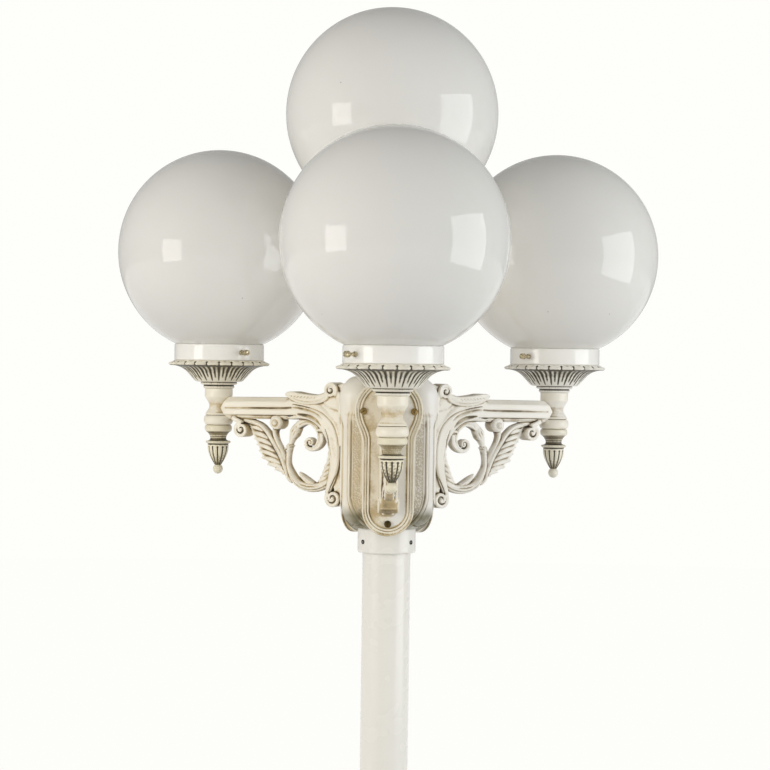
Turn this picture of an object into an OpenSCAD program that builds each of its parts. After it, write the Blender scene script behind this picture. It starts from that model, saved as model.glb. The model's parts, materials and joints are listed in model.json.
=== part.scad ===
// Four-light candelabra street lamp: a plain tube post carries a cast head
// with three scrolled arms at 120 degrees and one central lamp above them.
// Origin: centre of the base plate's underside. +Z up, the front arm points to -Y.

/* [Globes] */
// Outside diameter of each opal globe
globe_d = 250; // [240:5:252]
// Wall thickness of a globe
globe_wall = 3; // [2:0.5:5]
// Height of a globe's centre above the rim of its gallery
globe_rise = 113; // [112:1:116]
// Height of the top gallery rim above the rims of the three arms
top_rise = 160; // [150:1:200]

/* [Gallery] */
// Outside radius of the plain gallery ring
gallery_r = 54.9; // [54:0.1:56]
// Depth of the gallery ring
gallery_h = 19.7; // [18:0.1:22]
// Diameter of a thumb screw's knurled head
thumb_d = 7; // [6:0.5:9]

/* [Arms] */
// Distance from the post's axis to the axis of each arm's lamp
reach = 238.6; // [236:0.1:260]
// Thickness of the arm beam
beam_t = 22; // [18:1:24]
// Thickness of the scrollwork
scroll_t = 12; // [8:1:16]

/* [Post] */
// Height of the arm galleries' rims above the ground
rim_z = 1500; // [1300:10:2400]
// Outside radius of the post tube
post_r = 28.3; // [28:0.1:28.5]
// Wall of the post tube
post_wall = 2.5; // [2:0.5:4]

/* [Base] */
// Radius of the base plate
base_r = 150; // [140:1:170]
// Thickness of the base plate
base_t = 12; // [10:1:16]
// Pitch circle diameter of the four anchor holes
anchor_pcd = 210; // [200:1:220]
// Radius of an anchor hole
anchor_r = 7; // [6:0.5:8]

/* [Hidden] */
$fn = 72;

// paint and metal colours
paint = [0.93, 0.91, 0.86];
patina = [0.80, 0.74, 0.62];
gilt = [0.74, 0.66, 0.48];

// arm directions, turned about Z from the front (-Y)
az_front = 0;
az_left = 240;
az_right = 120;
// direction of the first thumb screw of each gallery, from the front, seen from above
tz_front = 312;
tz_left = 32;
tz_right = 320;
tz_top = 40;

gw = 1.5;          // sheet of the gallery
neck_r = 49;       // outside of a globe's neck
neck_z = -16;      // lower end of a globe's neck
socket_r = post_r + 0.05;
cap_z = -48;       // top of the column's body
panel_y = 37;      // distance of a panel's face from the axis
plate_t = 8;       // thickness of an arm's plate

// ---- places -------------------------------------------------------------
module at_rim(az = 0) { translate([0, 0, rim_z]) rotate([0, 0, az]) children(); }
module at_lamp(az) { at_rim(az) translate([0, -reach, 0]) children(); }
module at_top() { translate([0, 0, rim_z + top_rise]) children(); }

// ---- curves -------------------------------------------------------------
// a point of the smooth curve through four neighbours
function cr(a, b, c, d, t) = 0.5 * (2*b + (c - a)*t + (2*a - 5*b + 4*c - d)*t*t + (3*b - a - 3*c + d)*t*t*t);
// a smooth curve through points [u, z, half width]
function smooth(P, k = 5) = concat([for (i = [0:len(P) - 2]) for (j = [0:k - 1])
    cr(P[max(i - 1, 0)], P[i], P[i + 1], P[min(i + 2, len(P) - 1)], j / k)], [P[len(P) - 1]]);
function dir(Q, i) = let (d = [Q[min(i + 1, len(Q) - 1)][0] - Q[max(i - 1, 0)][0],
    Q[min(i + 1, len(Q) - 1)][1] - Q[max(i - 1, 0)][1]]) d / norm(d);
// outline of a stroke that follows such a curve
function stroke(Q) = concat(
    [for (i = [0:len(Q) - 1]) let (d = dir(Q, i)) [Q[i][0] - d[1]*Q[i][2], Q[i][1] + d[0]*Q[i][2]]],
    [for (i = [len(Q) - 1:-1:0]) let (d = dir(Q, i)) [Q[i][0] + d[1]*Q[i][2], Q[i][1] - d[0]*Q[i][2]]]);
// a volute that winds in from radius r0 to r1 between two angles
function volute(c, r0, r1, a0, a1, w0, w1, n = 28) = [for (i = [0:n]) let (t = i / n, a = a0 + (a1 - a0)*t,
    r = r0 + (r1 - r0)*t) [c[0] + r*cos(a), c[1] + r*sin(a), w0 + (w1 - w0)*t]];

// draws a shape of the arm's own plane (u outwards, z up) as a plate of thickness t
module arm_slab(t) { rotate([90, 0, -90]) linear_extrude(t, center = true) children(); }
module band(P, t) { arm_slab(t) polygon(stroke(smooth(P))); }

// ---- base and post ------------------------------------------------------
module base_plate() {
  color("gray") difference() {
    union() {
      cylinder(r = base_r, h = base_t);
      // weld ring round the tube's foot
      translate([0, 0, base_t]) difference() { cylinder(r1 = post_r + 6, r2 = post_r + 0.6, h = 6); translate([0, 0, -1]) cylinder(r = post_r, h = 8); }
    }
    translate([0, 0, -1]) cylinder(r = 20, h = base_t + 2);
    for (a = [45:90:315]) rotate([0, 0, a]) translate([anchor_pcd/2, 0, -1]) cylinder(r = anchor_r, h = base_t + 2);
  }
}

module post_tube() {
  color(paint) difference() {
    translate([0, 0, base_t]) cylinder(r = post_r, h = rim_z - 150 - base_t);
    translate([0, 0, base_t - 1]) cylinder(r = post_r - post_wall, h = rim_z);
  }
}

// ogee of the bell-shaped base cover: outer face, shifted in by s
function bell(s) = [for (i = [0:14]) let (t = i / 14) [79 + 39*cos(180*t) - s, 26 + 66*t]];
function rev(L) = [for (i = [len(L) - 1:-1:0]) L[i]];

module base_cover() {
  color(paint) translate([0, 0, base_t]) difference() {
    rotate_extrude($fn = 96) polygon(concat(
      [[post_r + 0.4, 132], [post_r + 0.4, 98]],
      rev(bell(5)),
      [[118, 18], [130, 11], [130, 0], [138, 0], [140, 3], [140, 12], [136, 16], [129, 17], [126, 21], [120, 24]],
      bell(0),
      [[43, 94], [46, 97], [46, 101], [43, 104], [38, 106], [36, 112], [36, 120], [39, 122], [39, 128], [36, 132]]));
    for (a = [90, 210, 330]) rotate([0, 0, a]) translate([0, 0, 115]) rotate([0, 90, 0]) cylinder(r = 2.5, h = 60);
  }
}

module base_cover_screws() {
  color("dimgray") translate([0, 0, base_t + 115]) for (a = [90, 210, 330]) rotate([0, 0, a]) rotate([0, 90, 0])
    difference() { translate([0, 0, post_r + 0.4]) cylinder(r = 2.45, h = 8); translate([0, 0, post_r + 6.4]) cylinder(r = 1.2, h = 4, $fn = 6); }
}

// ---- head ---------------------------------------------------------------
// tongue-shaped panel outline in the X-Z plane
module tongue(w, top, low) {
  translate([0, low]) circle(r = w);
  translate([0, top]) circle(r = w);
  translate([-w, low]) square([2*w, top - low]);
}

module lobe(d, r, z0, z1) {
  translate([0, -d, z0]) sphere(r = r);
  translate([0, -d, z0]) cylinder(r = r, h = z1 - z0);
  translate([0, -d, z1]) sphere(r = r);
}

module head_column() {
  color(patina) at_rim() difference() {
    union() {
      translate([0, 0, -214]) cylinder(r = 40, h = 214 + cap_z);
      for (a = [0, 120, 240]) rotate([0, 0, a]) {
        // stippled panel with its raised rim
        translate([0, -24, 0]) rotate([90, 0, 0]) linear_extrude(panel_y - 24) tongue(47, -86, -172);
        translate([0, -panel_y, 0]) rotate([90, 0, 0]) linear_extrude(1.5) difference() { tongue(46.6, -86, -172); tongue(43.2, -86, -172); }
        // rounded corner between two panels, with a swelling at the shoulder
        rotate([0, 0, 60]) { lobe(39, 19.5, -191, -58); lobe(43, 19.5, -86, -58); }
      }
      // sleeve that slips over the post
      translate([0, 0, -243.3]) cylinder(r = 34.2, h = 40);
    }
    // seats of the arms' plates
    for (a = [0, 120, 240]) rotate([0, 0, a]) translate([0, -panel_y, 0]) rotate([90, 0, 0]) linear_extrude(40) keyhole(0.15);
    translate([0, 0, -244]) cylinder(r = socket_r, h = 94);
    translate([0, 0, -151]) cylinder(r = 22, h = 90);
    translate([0, 0, -70]) cylinder(r = 12.05, h = 80);
    // the cap's seat
    translate([0, 0, cap_z]) cylinder(r = 28.2, h = 60);
    // grub screw holes of the sleeve
    for (a = [-55, 55, 180]) rotate([0, 0, a]) translate([0, 0, -230]) rotate([90, 0, 0]) cylinder(r = 2.5, h = 50);
    // tapped holes for the arms
    for (a = [0, 120, 240]) rotate([0, 0, a]) { for (x = [-29.5, 29.5]) arm_hole(x, -76, 2.5, 16, panel_y); arm_hole(0, -207, 2.5, 12, panel_y);
      // wire way into the arm
      arm_hole(0, -78, 6, 40, panel_y); }
  }
}

module arm_hole(x, z, r, deep, y) { translate([x, -y + deep, z]) rotate([90, 0, 0]) cylinder(r = r, h = deep + 10); }

module sleeve_screws() {
  color("dimgray") at_rim() for (a = [-55, 55, 180]) rotate([0, 0, a]) translate([0, 0, -230]) rotate([90, 0, 0])
    difference() { translate([0, 0, post_r]) cylinder(r = 2.5, h = 34.9 - post_r); translate([0, 0, 33.4]) cylinder(r = 1.25, h = 4, $fn = 6); }
}

module head_cap() {
  color(patina) at_rim() difference() {
    rotate_extrude() polygon(concat([[0, cap_z], [28, cap_z], [28, -38], [30, -36], [30, -32], [28, -30]],
      [for (i = [0:8]) [20 + 8*cos(90*i/8), -30 + 9*sin(90*i/8)]], [[0, -21]]));
    translate([0, 0, -60]) cylinder(r = 12.05, h = 60);
  }
}

module top_stem() {
  color(patina) at_rim() difference() {
    union() {
      rotate_extrude() polygon(concat([[0, -21], [19, -21], [20, -17], [17, -13], [16, -10], [18.5, -7], [18.5, -2], [15.5, 1]],
        // swelling baluster
        [for (i = [0:16]) let (t = i / 16) [12.5 + 5.5*pow(sin(180*t), 2), 6 + 56*t]],
        [[17.5, 65], [17.5, 71], [14, 74], [12.5, 80], [14.5, 86], [17.3, 90], [17.3, top_rise - 54.3], [0, top_rise - 54.3]]));
      // threaded end below the cap
      translate([0, 0, -66]) cylinder(r = 12, h = 46);
    }
    translate([0, 0, -70]) cylinder(r = 5.05, h = top_rise + 40);
  }
}

module terminal_block() {
  color("ivory") at_rim() translate([0, 0, -128]) difference() {
    translate([-11, -8, -20]) cube([22, 16, 40]);
    for (z = [-12, 0, 12]) translate([0, -10, z]) rotate([-90, 0, 0]) cylinder(r = 2, h = 11);
  }
}

// ---- arms ---------------------------------------------------------------
// outline of an arm's plate, grown by g
module keyhole(g) {
  translate([0, -76]) circle(r = 39 + g);
  translate([0, -194]) circle(r = 27 + g);
  translate([-27 - g, -194]) square([54 + 2*g, 118]);
}
module arm_body() {
  difference() {
    union() {
      // keyhole plate that is screwed to the column's panel
      translate([0, -panel_y, 0]) rotate([90, 0, 0]) linear_extrude(plate_t) keyhole(0);
      // beam with chamfered edges
      translate([0, -44, -76.8]) rotate([90, 0, 0]) linear_extrude(reach - 50)
        polygon([[beam_t/2, 7.5], [6, 13.5], [-6, 13.5], [-beam_t/2, 7.5], [-beam_t/2, -7.5], [-6, -13.5], [6, -13.5], [beam_t/2, -7.5]]);
      // hub: turned baluster that carries the lamp above and the finial below
      translate([0, -reach, 0]) rotate_extrude() polygon(concat(
        [[0, -99], [15.5, -99], [17.8, -96.5], [17.8, -89.5], [16, -87.3]],
        [for (i = [0:10]) let (t = i / 10) [17.5 - 6.0*pow(sin(180*t), 1.3), -87 + 20*t]],
        [[17.3, -65], [17.3, -54.3], [0, -54.3]]));
      // web from the beam down the back of the arm
      arm_slab(scroll_t + 6) polygon(concat([[118, -89], [118, -64], [98, -62], [84, -58], [76, -46], [62, -46], [44, -52], [44, -192], [66, -192], [76, -180], [84, -169]],
        [for (i = [0:10]) let (a = 230 - 11*i) [110 + 34*cos(a), -124 + 36*sin(a)]]));
      // leaf lying on the beam
      band([[80, -62, 4], [98, -64.5, 5], [118, -62.5, 5], [134, -59, 2]], scroll_t + 6);
      // curls at the two ends of the spine
      translate([0, -73.3, -53.1]) rotate([0, 90, 0]) cylinder(r = 8.6, h = beam_t, center = true);
      translate([0, -68.6, -182.4]) rotate([0, 90, 0]) cylinder(r = 10.4, h = beam_t, center = true);
      // curl and rosette under the beam
      translate([0, -199.7, -103.6]) rotate([0, 90, 0]) cylinder(r = 9.6, h = beam_t - 2, center = true);
      translate([0, -150.6, -93.5]) rotate([0, 90, 0]) cylinder(r = 9, h = beam_t - 2, center = true);
      // long stem that sweeps round from the node ball to the foot of the spine
      band([[82, -165, 5], [92, -169.4, 5.2], [105.5, -170.4, 5.6], [119.5, -167, 5.4], [127, -161.5, 4.8], [131.8, -153.5, 4.2], [135.6, -145, 3.6], [136, -136, 3.2], [134.8, -125, 3.4]], scroll_t);
      translate([0, -135, -123.8]) sphere(r = 5);
      // bud and inner volute
      band([[133.6, -122, 3], [129.2, -109.5, 5], [125.5, -103, 6.6], [120, -96, 5]], scroll_t);
      band([[119, -94.6, 4.6], [109.9, -91.2, 4.6], [99.6, -93.4, 4.6], [93.4, -98.8, 4.3], [89.6, -106, 4.4], [89.9, -113, 4.6], [93.5, -120, 4], [97.5, -123.8, 3]], scroll_t);
      translate([0, -104.3, -118]) rotate([0, 90, 0]) cylinder(r = 8.2, h = scroll_t, center = true);
      // branch from the rosette to the foot of the leaf
      band([[153, -98, 4.4], [155.6, -108, 3.8], [152.5, -116, 3.6], [147, -125, 3.8], [141.6, -136, 3.8], [138, -148, 4]], scroll_t - 2);
      // acanthus leaf with its lobed outer edge
      arm_slab(scroll_t - 4) polygon([[210, -90], [190, -90], [176, -94], [165, -102], [155, -114], [144, -128], [137, -142], [133, -158],
        [138, -158], [149.3, -153.4], [148.5, -151], [161, -147.6], [160, -145], [172, -138.8], [171, -135.6], [175.8, -131.2], [175, -127.4], [180, -120.4], [179, -117.6], [184, -114.7], [183, -111], [190, -103], [200, -96]]);
    }
    // bore for the threaded tube, and the wire way along the beam
    translate([0, -reach, -100]) cylinder(r = 5.05, h = 60);
    translate([0, -panel_y + 1, -78]) rotate([90, 0, 0]) cylinder(r = 4, h = reach - panel_y - 1);
    for (x = [-29.5, 29.5]) translate([x, -panel_y + 1, -76]) rotate([90, 0, 0]) cylinder(r = 2.75, h = 20);
    translate([0, -panel_y + 1, -207]) rotate([90, 0, 0]) cylinder(r = 2.75, h = 20);
  }
}

module arm_front() { color(patina) at_rim(az_front) arm_body(); }
module arm_left() { color(patina) at_rim(az_left) arm_body(); }
module arm_right() { color(patina) at_rim(az_right) arm_body(); }

module screw_at(x, z) {
  translate([x, -panel_y, z]) rotate([90, 0, 0]) difference() {
    union() { translate([0, 0, -7.5]) cylinder(r = 2.45, h = 15.5); translate([0, 0, plate_t]) cylinder(r1 = 4.2, r2 = 3.4, h = 2.2); }
    translate([-5, -0.5, plate_t + 1.2]) cube([10, 1, 3]);
  }
}
module arm_screws() {
  color(gilt) for (a = [az_front, az_left, az_right]) at_rim(a) { screw_at(-29.5, -76); screw_at(29.5, -76); screw_at(0, -207); }
}

// drop finial under a hub
module finial_body() {
  difference() {
    union() {
      rotate_extrude() polygon(concat([[0, -99], [15.5, -99], [16.5, -100.5], [16.5, -105.5], [14.2, -107.6], [11.6, -110], [9.8, -113.4], [9.8, -116.4], [11, -118.2], [14.6, -118.8], [15.2, -120.6], [14, -122.8], [13.4, -125]],
        [for (i = [1:10]) let (t = i / 10) [4.0 + 9.2*pow(cos(90*t), 0.9), -125 - 23*t]], [[3.6, -148.5], [0, -149]]));
      translate([0, 0, -153.2]) sphere(r = 6.1);
      translate([0, 0, -99.5]) cylinder(r = 5, h = 6.5);
    }
  }
}
module finial_front() { color(gilt) at_lamp(az_front) finial_body(); }
module finial_left() { color(gilt) at_lamp(az_left) finial_body(); }
module finial_right() { color(gilt) at_lamp(az_right) finial_body(); }

// ---- lamps --------------------------------------------------------------
// fluted cup under the gallery
module cup_body() {
  difference() {
    union() {
      rotate_extrude() polygon([[0, -gallery_h], [55, -gallery_h], [60, -21.6], [62.5, -23.3], [62.5, -25.4], [60.5, -26.3], [54.5, -26.9], [49, -28.2], [44.4, -30.5],
        [40.5, -33.6], [37.4, -37], [34.2, -41], [31.9, -43.6], [28.4, -46], [22, -46.2], [22.4, -47.6], [21.6, -49.4], [19, -49.9], [19.2, -51.6], [18.6, -53.4], [17.3, -54.3], [0, -54.3]]);
      // scalloped rim: one small round end for each flute
      for (i = [0:23]) rotate([0, 0, 15*i]) translate([0, 59.4, -26.4]) cylinder(r = 3.6, h = 3.4);
    }
    translate([0, 0, -60]) cylinder(r = 5.05, h = 60);
    // hollow of the casting
    translate([0, 0, -gallery_h]) mirror([0, 0, 1]) translate([0, 0, -1]) cylinder(r1 = 44, r2 = 20, h = 18);
  }
}
module cup_front() { color(patina) at_lamp(az_front) cup_body(); }
module cup_left() { color(patina) at_lamp(az_left) cup_body(); }
module cup_right() { color(patina) at_lamp(az_right) cup_body(); }
module cup_top() { color(patina) at_top() cup_body(); }

// plain dish that holds a globe's neck; two opposite holes for the thumb screws
module gallery_body(tz) {
  difference() {
    union() {
      difference() {
        translate([0, 0, -gallery_h]) cylinder(r = gallery_r, h = gallery_h);
        translate([0, 0, -gallery_h + gw]) cylinder(r = gallery_r - 2.5, h = gallery_h);
        // eased lip, clear of the globe
        translate([0, 0, -1.8]) cylinder(r1 = gallery_r - 2.5, r2 = gallery_r - 0.4, h = 1.9);
      }
    }
    translate([0, 0, -gallery_h - 1]) cylinder(r = 5.2, h = 5);
    for (k = [0:1]) rotate([0, 0, tz + 180*k]) translate([0, 0, -10]) rotate([90, 0, 0]) cylinder(r = 2.05, h = 70);
  }
}
module gallery_front() { color("white") at_lamp(az_front) rotate([0, 0, -az_front]) gallery_body(tz_front); }
module gallery_left() { color("white") at_lamp(az_left) rotate([0, 0, -az_left]) gallery_body(tz_left); }
module gallery_right() { color("white") at_lamp(az_right) rotate([0, 0, -az_right]) gallery_body(tz_right); }
module gallery_top() { color("white") at_top() gallery_body(tz_top); }

module thumb_body(a) {
  rotate([0, 0, a]) translate([0, 0, -10]) rotate([90, 0, 0]) {
    translate([0, 0, neck_r + 0.35]) cylinder(r = 2, h = 8);
    // collar, waist and knurled head
    translate([0, 0, gallery_r + 0.4]) cylinder(r1 = 3.1, r2 = 2.6, h = 3);
    translate([0, 0, gallery_r + 3.2]) cylinder(r = 1.8, h = 7);
    difference() {
      translate([0, 0, gallery_r + 9.6]) cylinder(r = thumb_d/2, h = 5.6);
      for (i = [0:15]) rotate([0, 0, 22.5*i]) translate([thumb_d/2 + 0.35, 0, gallery_r + 5]) cylinder(r = 0.7, h = 12, $fn = 16);
    }
    translate([0, 0, gallery_r + 15.1]) cylinder(r1 = 3.0, r2 = 2.0, h = 1);
  }
}
module thumb_front_1() { color(gilt) at_lamp(az_front) rotate([0, 0, -az_front]) thumb_body(tz_front); }
module thumb_front_2() { color(gilt) at_lamp(az_front) rotate([0, 0, -az_front]) thumb_body(tz_front + 180); }
module thumb_left_1() { color(gilt) at_lamp(az_left) rotate([0, 0, -az_left]) thumb_body(tz_left); }
module thumb_left_2() { color(gilt) at_lamp(az_left) rotate([0, 0, -az_left]) thumb_body(tz_left + 180); }
module thumb_right_1() { color(gilt) at_lamp(az_right) rotate([0, 0, -az_right]) thumb_body(tz_right); }
module thumb_right_2() { color(gilt) at_lamp(az_right) rotate([0, 0, -az_right]) thumb_body(tz_right + 180); }
module thumb_top_1() { color(gilt) at_top() thumb_body(tz_top); }
module thumb_top_2() { color(gilt) at_top() thumb_body(tz_top + 180); }

// opal globe with its straight neck
module globe_body() {
  difference() {
    union() {
      translate([0, 0, globe_rise]) sphere(r = globe_d/2, $fn = 120);
      translate([0, 0, neck_z]) cylinder(r = neck_r, h = 22);
    }
    translate([0, 0, globe_rise]) sphere(r = globe_d/2 - globe_wall, $fn = 120);
    translate([0, 0, neck_z - 1]) cylinder(r = neck_r - globe_wall, h = 24);
  }
}
module globe_front() { color("ivory") at_lamp(az_front) globe_body(); }
module globe_left() { color("ivory") at_lamp(az_left) globe_body(); }
module globe_right() { color("ivory") at_lamp(az_right) globe_body(); }
module globe_top() { color("ivory") at_top() globe_body(); }

module each_lamp() {
  at_lamp(az_front) children();
  at_lamp(az_left) children();
  at_lamp(az_right) children();
  at_top() children();
}

// threaded tubes that clamp hub, cup, gallery and lamp holder together
module nipples() {
  color("silver") each_lamp() difference() { translate([0, 0, -91]) cylinder(r = 5, h = 79); translate([0, 0, -92]) cylinder(r = 3.6, h = 90); }
}
module nipple_nuts() {
  color("silver") each_lamp() translate([0, 0, -gallery_h + gw]) difference() { cylinder(r = 9, h = 4, $fn = 6); translate([0, 0, -1]) cylinder(r = 5, h = 6); }
}
// soft rings that the globes' necks stand on
module gallery_gaskets() {
  color("white") each_lamp() translate([0, 0, -gallery_h + gw]) difference() { cylinder(r = 51.5, h = neck_z + gallery_h - gw); translate([0, 0, -1]) cylinder(r = 44, h = 10); }
}

module holder_body() {
  difference() {
    union() {
      translate([0, 0, -gallery_h + gw + 4]) cylinder(r1 = 11, r2 = 16, h = 10);
      translate([0, 0, -gallery_h + gw + 14]) cylinder(r = 17, h = 33);
      translate([0, 0, 26]) cylinder(r = 19, h = 3);
    }
    translate([0, 0, 4]) cylinder(r = 13.6, h = 60);
    translate([0, 0, -30]) cylinder(r = 5, h = 18);
  }
}
module holder_front() { color("white") at_lamp(az_front) holder_body(); }
module holder_left() { color("white") at_lamp(az_left) holder_body(); }
module holder_right() { color("white") at_lamp(az_right) holder_body(); }
module holder_top() { color("white") at_top() holder_body(); }

module bulb_body() {
  color("white") union() {
    translate([0, 0, 84]) sphere(r = 30);
    translate([0, 0, 31]) cylinder(r1 = 14, r2 = 26, h = 38);
    translate([0, 0, 8]) cylinder(r = 13.3, h = 24);
    translate([0, 0, 4]) cylinder(r1 = 5, r2 = 11, h = 4.5);
  }
}
module bulb_front() { at_lamp(az_front) bulb_body(); }
module bulb_left() { at_lamp(az_left) bulb_body(); }
module bulb_right() { at_lamp(az_right) bulb_body(); }
module bulb_top() { at_top() bulb_body(); }

base_plate();
post_tube();
base_cover();
base_cover_screws();
head_column();
sleeve_screws();
head_cap();
top_stem();
terminal_block();
arm_front();
arm_left();
arm_right();
arm_screws();
finial_front();
finial_left();
finial_right();
cup_front();
cup_left();
cup_right();
cup_top();
gallery_front();
gallery_left();
gallery_right();
gallery_top();
nipples();
nipple_nuts();
gallery_gaskets();
holder_front();
holder_left();
holder_right();
holder_top();
bulb_front();
bulb_left();
bulb_right();
bulb_top();
globe_front();
globe_left();
globe_right();
globe_top();
thumb_front_1();
thumb_front_2();
thumb_left_1();
thumb_left_2();
thumb_right_1();
thumb_right_2();
thumb_top_1();
thumb_top_2();
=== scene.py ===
import json
import math
import bpy
import numpy as np
from mathutils import Matrix, Vector


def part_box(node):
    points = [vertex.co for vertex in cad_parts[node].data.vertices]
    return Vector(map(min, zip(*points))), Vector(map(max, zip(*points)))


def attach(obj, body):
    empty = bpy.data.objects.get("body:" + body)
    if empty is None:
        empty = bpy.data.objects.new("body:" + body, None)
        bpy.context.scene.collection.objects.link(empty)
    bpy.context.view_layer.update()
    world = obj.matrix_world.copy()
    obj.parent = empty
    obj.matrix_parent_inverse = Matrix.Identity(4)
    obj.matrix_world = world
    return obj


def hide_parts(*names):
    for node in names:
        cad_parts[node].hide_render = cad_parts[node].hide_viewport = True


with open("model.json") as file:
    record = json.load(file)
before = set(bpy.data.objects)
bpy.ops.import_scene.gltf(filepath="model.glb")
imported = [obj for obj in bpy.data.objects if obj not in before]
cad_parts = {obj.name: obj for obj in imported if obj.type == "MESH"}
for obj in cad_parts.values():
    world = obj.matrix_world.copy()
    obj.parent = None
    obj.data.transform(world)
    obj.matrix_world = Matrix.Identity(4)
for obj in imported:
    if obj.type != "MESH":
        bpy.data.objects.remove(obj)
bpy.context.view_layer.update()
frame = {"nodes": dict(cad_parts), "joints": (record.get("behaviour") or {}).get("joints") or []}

rng = np.random.default_rng(7)
MM = 0.001

# ---------------------------------------------------------------- places, from the CAD frame
def centre(node):
    lo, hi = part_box(node)
    return (lo + hi) / 2

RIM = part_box("gallery_front")[1].z
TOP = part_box("gallery_top")[1].z - RIM
REACH = -centre("gallery_front").y
LAMPS = {}
for k in ("front", "left", "right", "top"):
    c = centre("cup_" + k)
    LAMPS[k] = Vector((c.x, c.y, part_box("gallery_" + k)[1].z))
ARM_AZ = {"front": 0.0, "left": math.radians(240), "right": math.radians(120)}

# ---------------------------------------------------------------- small tools
def lin(c):
    c = c / 255.0
    return c / 12.92 if c <= 0.04045 else ((c + 0.055) / 1.055) ** 2.4

def col(r, g, b):
    return (lin(r), lin(g), lin(b), 1.0)

def fast_mesh(name, V, Q, smooth=True):
    me = bpy.data.meshes.new(name)
    V = np.asarray(V, np.float32)
    Q = np.asarray(Q, np.int32)
    me.vertices.add(len(V))
    me.vertices.foreach_set("co", V.ravel())
    me.loops.add(Q.size)
    me.loops.foreach_set("vertex_index", Q.ravel())
    me.polygons.add(len(Q))
    me.polygons.foreach_set("loop_start", np.arange(0, Q.size, Q.shape[1], dtype=np.int32))
    me.update(calc_edges=True)
    if smooth:
        me.polygons.foreach_set("use_smooth", np.ones(len(Q), bool))
    return me

def outward(V, Q):
    """turns the faces of a closed mesh outwards"""
    a, b, c, d = (V[Q[:, i]] for i in range(4))
    vol = (a * np.cross(b, c)).sum() + (a * np.cross(c, d)).sum()
    return Q[:, ::-1] if vol < 0 else Q

def edges_of(Q):
    e = np.concatenate([Q[:, [i, (i + 1) % Q.shape[1]]] for i in range(Q.shape[1])])
    e = np.sort(e, axis=1)
    key = e[:, 0].astype(np.int64) * (Q.max() + 1) + e[:, 1]
    _, idx = np.unique(key, return_index=True)
    return e[idx]

def relax(V, E, k, lam=1.0):
    n = len(V)
    i = np.concatenate([E[:, 0], E[:, 1]])
    j = np.concatenate([E[:, 1], E[:, 0]])
    deg = np.bincount(i, minlength=n).astype(float)
    deg[deg == 0] = 1
    P = V.astype(float).copy()
    for _ in range(int(k)):
        S = np.stack([np.bincount(i, weights=P[j, c], minlength=n) for c in range(P.shape[1])], 1) / deg[:, None]
        P += lam * (S - P)
    return P

def normals(V, Q):
    a = V[Q[:, 2]] - V[Q[:, 0]]
    b = V[Q[:, -1]] - V[Q[:, 1]]
    f = np.cross(a, b)
    N = np.zeros_like(V, dtype=float)
    for c in range(Q.shape[1]):
        for d in range(3):
            N[:, d] += np.bincount(Q[:, c], weights=f[:, d], minlength=len(V))
    return N / np.maximum(np.linalg.norm(N, axis=1), 1e-12)[:, None]

def hollows(V, Q, fine=1.3, broad=4.5):
    """how far each point lies below its smoothed surroundings, in mm, at two sizes (V in mm)"""
    E = edges_of(Q)
    L = np.linalg.norm(V[E[:, 0]] - V[E[:, 1]], axis=1)
    e = max(float(np.median(L)), 0.2)
    k1 = int(np.clip(2 * (fine / e) ** 2, 2, 30))
    k2 = int(np.clip(2 * (broad / e) ** 2, 6, 90))
    N = normals(V, Q)
    P1 = relax(V, E, k1)
    P2 = relax(P1, E, max(k2 - k1, 1))
    return ((P1 - V) * N).sum(1), ((P2 - V) * N).sum(1)

def attribute(me, name, values):
    at = me.attributes.get(name) or me.attributes.new(name, "FLOAT", "POINT")
    at.data.foreach_set("value", np.asarray(values, np.float32))

def place(az=0.0, at=(0, 0, 0)):
    return Matrix.Translation(Vector(at)) @ Matrix.Rotation(az, 4, "Z")

def piece(name, me, mat, nodes, body="root", matrix=None):
    """a finished piece: the mesh is baked into the row frame"""
    o = bpy.data.objects.new(name, me)
    bpy.context.scene.collection.objects.link(o)
    if matrix is not None:
        me.transform(matrix)
        me.update()
    me.materials.clear()
    me.materials.append(mat)
    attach(o, body)
    if nodes:
        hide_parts(*nodes)
    return o

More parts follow.
